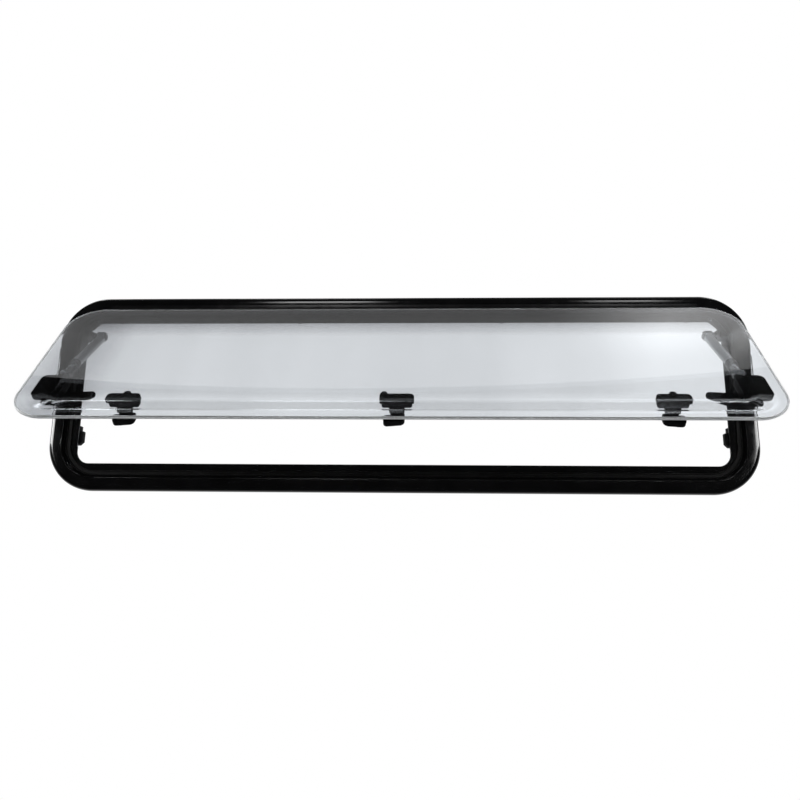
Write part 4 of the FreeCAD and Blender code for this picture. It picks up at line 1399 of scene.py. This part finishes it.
@dataclass(frozen=True)
class Stay:
    """Telescopic stay at one end, from its bracket on the frame to its foot on the pane."""

    side: Side
    sash: Sash = Sash()
    plane: float = 564.0
    pivot_depth: float = 20.0
    pivot_height: float = 274.0
    foot_pin: float = 25.5
    foot_height: float = -177.0
    eye_half: float = 6.0
    eye: float = 8.5
    rod_eye: float = 7.0
    pin: float = 3.2
    fit: float = 0.2
    tube: float = 8.0
    bore: float = 5.7
    tube_length: float = 124.0
    tube_start: float = 0.85
    bore_start: float = 2.0
    rod: float = 5.5
    rod_short: float = 5.0
    overlap: float = 40.0
    collar: float = 9.0
    collar_length: float = 14.0
    collar_on_tube: float = 0.75
    stud: float = 5.0
    stud_length: float = 8.0
    lug: float = 4.0
    head: float = 5.5
    head_length: float = 2.5
    bracket_seat: float = -17.5
    bracket_plate: float = 3.0
    bracket_half: float = 6.0
    bracket_low: float = -15.25
    bracket_high: float = 6.75
    bracket_screw: Screw = Screw(radius=2.3, recess_radius=1.2, recess_arm=0.32)
    bracket_screw_in: float = 3.6
    foot_plate: float = 3.0
    foot_half: float = 9.0
    foot_inner: float = 14.0
    foot_screw: Screw = Screw(radius=2.5)
    foot_screw_in: float = 4.6

    @property
    def bracket_place(self) -> Matrix:
        """Place of the bracket's pivot, with X measured from the middle of the window."""
        return self.side.mirror @ Matrix.Translation((0.0, self.pivot_depth, self.pivot_height))

    @property
    def span(self) -> Vector:
        """From the bracket's pivot to the foot's pin."""
        pin = self.sash.place @ Vector((0.0, self.foot_pin, self.foot_height))
        return pin - Vector((0.0, self.pivot_depth, self.pivot_height))

    def build(self, workshop: Workshop) -> None:
        """Build bracket, foot and the telescopic arm.

        Args:
            workshop: Where the finishes are made.
        """
        self._bracket(workshop)
        self._foot(workshop)
        self._arm(workshop)

    def _bracket(self, workshop: Workshop) -> None:
        """Plate, lug, stud and pin with a riveted head, and its screws.

        Args:
            workshop: Where its finish is made.
        """
        form = Form()
        near, far = self.plane - self.eye_half - self.fit, self.plane + self.eye_half + self.fit
        lug_near = far + self.stud_length
        lug_far = lug_near + self.lug
        back = self.bracket_seat + self.bracket_plate
        form.slab(rectangle(lug_far - self.bracket_half, lug_far + self.bracket_half, self.bracket_low,
                            self.bracket_high, 2.0), self.bracket_seat, back, soft=0.5)
        form.side_slab([(self.bracket_seat + 0.5, self.bracket_low + 0.3, 0.0),
                        (self.eye, -self.eye, 0.7 * self.eye), (self.eye, self.eye, 0.7 * self.eye),
                        (self.bracket_seat + 0.5, self.bracket_high - 0.3, 0.0)],
                       lug_near, lug_far, soft=0.6)
        form.lathe([(0.0, near - self.head_length), (self.head, near - self.head_length), (self.head, near),
                    (self.pin, near), (self.pin, far), (self.stud, far), (self.stud, lug_near + 0.5),
                    (0.0, lug_near + 0.5)], axis=Axis.ALONG, soft=0.35)
        form.piece(f"stay_bracket_{self.side.word}_fitting", Slot.STAY_FITTING, workshop,
                   [f"stay_bracket_{self.side.word}"], self.bracket_place)
        screws = Form()
        for height in (self.bracket_low + self.bracket_screw_in, self.bracket_high - self.bracket_screw_in):
            self.bracket_screw.add(screws, (lug_far + self.bracket_half / 2, back, height))
        screws.piece(f"stay_bracket_screws_{self.side.word}", Slot.STAY_STEEL, workshop,
                     place=self.bracket_place)

    def _foot(self, workshop: Workshop) -> None:
        """Plate on the dish, its lug and pin, and its screws.

        Args:
            workshop: Where its finish is made.
        """
        form = Form()
        near, far = self.plane - self.eye_half - self.fit, self.plane + self.eye_half + self.fit
        base, middle, half = self.sash.dish_back, self.foot_height, self.foot_half
        crown = self.foot_pin + self.rod_eye
        form.slab(rectangle(near - self.foot_inner, near, middle - half, middle + half, 3.0), base,
                  base + self.foot_plate, soft=0.5)
        form.side_slab([(base + 0.5, middle - half + 3.0, 0.0), (crown, middle - 0.75 * half, 0.6 * half),
                        (crown, middle + 0.75 * half, 0.6 * half), (base + 0.5, middle + half - 3.0, 0.0)],
                       near - self.lug, near, soft=0.6)
        form.lathe([(0.0, near - 0.5), (self.pin, near - 0.5), (self.pin, far), (self.head, far),
                    (self.head, far + self.head_length), (0.0, far + self.head_length)],
                   (0.0, self.foot_pin, middle), Axis.ALONG, soft=0.35)
        place = self.sash.place @ self.side.mirror
        form.piece(f"stay_foot_{self.side.word}_fitting", Slot.STAY_FITTING, workshop,
                   [f"stay_foot_{self.side.word}"], place)
        screws = Form()
        across = near - self.foot_inner + self.foot_screw_in
        for height in (middle - self.foot_screw_in, middle + self.foot_screw_in):
            self.foot_screw.add(screws, (across, base + self.foot_plate, height))
        screws.piece(f"stay_foot_screws_{self.side.word}", Slot.STAY_STEEL, workshop, place=place)

    def _eye(self, form: Form, radius: float, along: float) -> None:
        """Bored eye across the arm at a distance down it."""
        bore = self.pin + self.fit
        form.lathe([(bore, -self.eye_half), (radius, -self.eye_half), (radius, self.eye_half),
                    (bore, self.eye_half), (bore, -self.eye_half)], (0.0, 0.0, -along), Axis.ALONG, soft=0.7)

    def _arm(self, workshop: Workshop) -> None:
        """Tube, rod and the grooved collar between them.

        Args:
            workshop: Where the finishes are made.
        """
        swing = math.atan2(-self.span.y, -self.span.z)
        place = (self.side.mirror @ Matrix.Translation((self.plane, self.pivot_depth, self.pivot_height))
                 @ Matrix.Rotation(-swing, 4, "X"))
        length, word = self.span.length, self.side.word
        tube = Form()
        self._eye(tube, self.eye, 0.0)
        start, floor = self.tube_start * self.eye, self.bore_start * self.eye
        tube.lathe([(0.0, start), (self.tube, start), (self.tube, self.tube_length),
                    (self.bore, self.tube_length), (self.bore, floor), (0.0, floor)],
                   axis=Axis.DOWN, soft=0.5)
        tube.piece(f"stay_tube_{word}_drawn", Slot.STAY_TUBE, workshop, [f"stay_tube_{word}"], place)
        rod = Form()
        self._eye(rod, self.rod_eye, length)
        start, end = self.tube_length - self.overlap, length - self.rod_short
        rod.lathe([(0.0, start), (self.rod, start), (self.rod, end), (0.0, end)], axis=Axis.DOWN, soft=0.6)
        rod.piece(f"stay_rod_{word}_drawn", Slot.STAY_STEEL, workshop, [f"stay_rod_{word}"], place)
        grip = Form()
        top = self.tube_length - self.collar_on_tube * self.collar_length
        end = top + self.collar_length
        ridges = [(self.collar - drop, top + share * self.collar_length) for drop, share in COLLAR_RIDGES]
        grip.lathe([(self.tube, top), *ridges, (self.bore, end), (self.bore, self.tube_length),
                    (self.tube, self.tube_length), (self.tube, top)], axis=Axis.DOWN)
        grip.piece(f"stay_collar_{word}_fitting", Slot.STAY_FITTING, workshop, [f"stay_collar_{word}"], place)


LATCHES = (
    Latch("left", -437.3, 3.0, -1),
    Latch("centre", 3.5, -21.5, -1),
    Latch("right", 437.3, 1.0, 1),
)


@dataclass(frozen=True)
class Viewpoint:
    """Where the photograph was taken from."""

    place: Point = (0.0542, -1.2738, -0.1282)
    yaw: float = -2.329
    pitch: float = 12.408
    roll: float = 0.593
    focal_pixels: float = 724.0
    sensor: float = 36.0
    near_limit: float = 0.01

    def build(self) -> None:
        """Add the camera and make it the scene's."""
        yaw, pitch, roll = (math.radians(a) for a in (self.yaw, self.pitch, self.roll))
        ahead = Vector((math.sin(yaw) * math.cos(pitch), math.cos(yaw) * math.cos(pitch), math.sin(pitch)))
        level = Vector((math.cos(yaw), -math.sin(yaw), 0.0))
        upright = level.cross(ahead)
        right = math.cos(roll) * level + math.sin(roll) * upright
        above = -math.sin(roll) * level + math.cos(roll) * upright
        lens = bpy.data.cameras.new("photo_camera")
        lens.sensor_width = self.sensor
        lens.lens = self.focal_pixels / IMAGE_PIXELS * self.sensor
        lens.clip_start = self.near_limit
        eye = bpy.data.objects.new("photo_camera", lens)
        turn = Matrix((right, above, -ahead)).transposed().to_4x4()
        eye.matrix_world = Matrix.Translation(self.place) @ turn
        bpy.context.scene.collection.objects.link(eye)
        bpy.context.scene.camera = eye


class Facing(Enum):
    """Ways that a light panel can look."""

    DOWN = (0.0, 0.0, -1.0)
    LEFT = (-1.0, 0.0, 0.0)
    RIGHT = (1.0, 0.0, 0.0)
    INWARD = (0.0, 1.0, 0.0)


@dataclass(frozen=True)
class Card:
    """A light panel. One for gloss only shows in reflections and puts no diffuse light on the object."""

    name: str
    place: Point
    facing: Facing
    size: Range
    brightness: float
    oval: bool = False
    gloss_only: bool = True
    soft: float = 0.0
    turn: float = 0.0

    def build(self) -> None:
        """Add the panel as an area lamp of an even brightness."""
        lamp = bpy.data.lights.new(self.name, "AREA")
        lamp.shape = "ELLIPSE" if self.oval else "RECTANGLE"
        lamp.size, lamp.size_y = self.size
        lamp.energy = self.brightness * math.pi * self.size[0] * self.size[1]
        panel = bpy.data.objects.new(self.name, lamp)
        panel.visible_diffuse = not self.gloss_only
        facing = Vector(self.facing.value).to_track_quat("-Z", "Y").to_matrix().to_4x4()
        panel.matrix_world = Matrix.Translation(self.place) @ facing @ Matrix.Rotation(self.turn, 4, "Z")
        bpy.context.scene.collection.objects.link(panel)
        if self.soft > 0.0:
            self._fade(lamp)

    def _fade(self, lamp: bpy.types.Light) -> None:
        """Let the panel's brightness fall away towards its edges.

        Args:
            lamp: The panel's lamp.
        """
        lamp.use_nodes = True
        tree = lamp.node_tree
        spot = tree.nodes.new("ShaderNodeNewGeometry")
        split = tree.nodes.new("ShaderNodeSeparateXYZ")
        tree.links.new(spot.outputs["Parametric"], split.inputs["Vector"])
        total = tree.nodes.new("ShaderNodeMath")
        total.operation = "MULTIPLY"
        for i, axis in enumerate("XY"):
            centred = tree.nodes.new("ShaderNodeMath")
            centred.operation = "PINGPONG"
            centred.inputs[1].default_value = 0.5
            tree.links.new(split.outputs[axis], centred.inputs[0])
            ramp = tree.nodes.new("ShaderNodeMapRange")
            ramp.interpolation_type = "SMOOTHSTEP"
            ramp.inputs["From Max"].default_value = self.soft
            tree.links.new(centred.outputs[0], ramp.inputs["Value"])
            tree.links.new(ramp.outputs["Result"], total.inputs[i])
        tree.links.new(total.outputs[0], tree.nodes["Emission"].inputs["Strength"])


@dataclass(frozen=True)
class Studio:
    """White surroundings, a pale floor and a few soft panels."""

    floor_drop: float = 1.0
    floor_radius: float = 1.5
    floor_solid: float = 0.45
    floor_shades: tuple[Colour, Colour] = ((0.86, 0.86, 0.86), (0.9, 0.9, 0.9))
    floor_roughness: float = 0.9
    fill: float = 0.65
    mirrored: float = 0.01
    backdrop: float = 1.0
    behind_from: Range = (0.0, 0.3)
    dark_above: Range = (0.3, 0.5)
    cards: tuple[Card, ...] = (
        Card("overhead_card", (0.0, 0.263, 2.6), Facing.DOWN, (5.66, 0.7), 0.46, oval=True,
             gloss_only=False, turn=0.019),
        Card("left_panel", (-1.7, -0.8, 0.35), Facing.RIGHT, (1.64, 0.3), 22.0),
        Card("right_panel", (1.7, -1.1, 0.35), Facing.LEFT, (2.1, 0.3), 18.0),
        Card("left_brow", (-0.62, -3.0, 1.78), Facing.INWARD, (0.9, 0.44), 16.0, soft=0.3),
        Card("right_brow", (1.29, -3.0, 1.76), Facing.INWARD, (0.65, 0.44), 11.0, soft=0.3),
        Card("left_strip", (-0.5, 0.95, 2.5), Facing.DOWN, (1.1, 0.5), 6.0, soft=0.3),
        Card("right_strip", (1.05, 0.95, 2.5), Facing.DOWN, (0.7, 0.5), 4.0, soft=0.5),
        Card("left_glint", (-1.75, 0.95, 2.5), Facing.DOWN, (0.6, 0.5), 9.0, soft=0.3),
        Card("right_glint", (1.75, 0.95, 2.5), Facing.DOWN, (0.6, 0.5), 9.0, soft=0.3),
        Card("right_glow", (1.3, 0.36, 2.5), Facing.DOWN, (1.5, 0.66), 1.5, soft=0.5),
        Card("right_streak", (1.15, 0.2, 2.4), Facing.DOWN, (0.6, 0.55), 0.6, soft=0.7),
        Card("far_streak", (1.5, 0.12, 2.4), Facing.DOWN, (0.2, 0.5), 0.9, soft=0.7, turn=-0.5),
    )

    def build(self) -> None:
        """Add the world, the floor and the panels."""
        bpy.context.scene.view_settings.view_transform = "Standard"
        self._world()
        self._floor()
        for card in self.cards:
            card.build()

    def _world(self) -> None:
        """White where it is seen plainly, grey as fill light; gloss sees a white backdrop in a dark room."""
        world = bpy.data.worlds.new("studio")
        world.use_nodes = True
        bpy.context.scene.world = world
        tree = world.node_tree
        backdrop = tree.nodes["Background"]
        path = tree.nodes.new("ShaderNodeLightPath")
        ray = tree.nodes.new("ShaderNodeTexCoord")
        split = tree.nodes.new("ShaderNodeSeparateXYZ")
        tree.links.new(ray.outputs["Generated"], split.inputs["Vector"])
        behind = self._blend(tree, split.outputs["Y"], self.mirrored, self.backdrop, *self.behind_from)
        gloss = self._blend(tree, split.outputs["Z"], behind, self.mirrored, *self.dark_above)
        seen = self._blend(tree, path.outputs["Glossy Depth"], 1.0, gloss)
        seen = self._blend(tree, path.outputs["Diffuse Depth"], seen, self.fill)
        bounced = self._blend(tree, path.outputs["Glossy Depth"], self.fill, gloss)
        bounced = self._blend(tree, path.outputs["Diffuse Depth"], bounced, self.fill)
        level = self._blend(tree, path.outputs["Is Transmission Ray"], bounced, seen)
        level = self._blend(tree, path.outputs["Is Camera Ray"], level, 1.0)
        tree.links.new(level, backdrop.inputs["Strength"])
        backdrop.inputs["Color"].default_value = (1.0, 1.0, 1.0, 1.0)

    @staticmethod
    def _blend(tree: bpy.types.NodeTree, factor: bpy.types.NodeSocket, low: bpy.types.NodeSocket | float,
               high: bpy.types.NodeSocket | float, start: float = 0.0,
               end: float = 1.0) -> bpy.types.NodeSocket:
        """Go from one strength to another.

        Args:
            tree: Node tree of the world.
            factor: What decides.
            low: Strength, or its source, at start.
            high: Strength, or its source, at end.
            start: Factor that gives low.
            end: Factor that gives high.

        Returns:
            The strength output.
        """
        blend = tree.nodes.new("ShaderNodeMapRange")
        blend.inputs["From Min"].default_value = start
        blend.inputs["From Max"].default_value = end
        tree.links.new(factor, blend.inputs["Value"])
        for name, value in (("To Min", low), ("To Max", high)):
            if isinstance(value, bpy.types.NodeSocket):
                tree.links.new(value, blend.inputs[name])
            else:
                blend.inputs[name].default_value = value
        return blend.outputs["Result"]

    def _floor(self) -> None:
        """A round pale floor below the window."""
        bm = bmesh.new()
        bmesh.ops.create_circle(bm, cap_ends=True, segments=96, radius=self.floor_radius)
        bmesh.ops.translate(bm, vec=(0.0, 0.0, -self.floor_drop), verts=bm.verts)
        mesh = bpy.data.meshes.new("floor")
        bm.to_mesh(mesh)
        bm.free()
        ground = bpy.data.objects.new("floor", mesh)
        bpy.context.scene.collection.objects.link(ground)
        graph = ShaderGraph("pale_floor")
        graph.feed("Base Color", graph.mix(graph.noise(graph.place(), 3.0), *self.floor_shades))
        graph.set("Roughness", self.floor_roughness)
        reach = graph.node("ShaderNodeVectorMath", Vector=graph.place((1.0, 1.0, 0.0)))
        reach.operation = "LENGTH"
        graph.feed("Alpha", graph.spread(reach.outputs["Value"], 1.0, 0.0, self.floor_solid,
                                         self.floor_radius))
        mesh.materials.append(graph.material)
        ground.visible_glossy = False
        ground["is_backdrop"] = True


def main() -> None:
    """Build the scene and report its pieces."""
    logging.basicConfig(level=logging.INFO, format="%(name)s: %(message)s")
    workshop = Workshop()
    workshop.dress_nodes()
    OuterFrame().build(workshop)
    Hinge().build(workshop)
    Pane().build(workshop)
    for latch in LATCHES:
        latch.build(workshop)
    for side in Side:
        SideLatch(side).build(workshop)
        Stay(side).build(workshop)
    Viewpoint().build()
    Studio().build()
    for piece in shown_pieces():
        log.info("%s, %d faces", piece.name, len(piece.data.polygons))


if __name__ == "__main__":
    main()
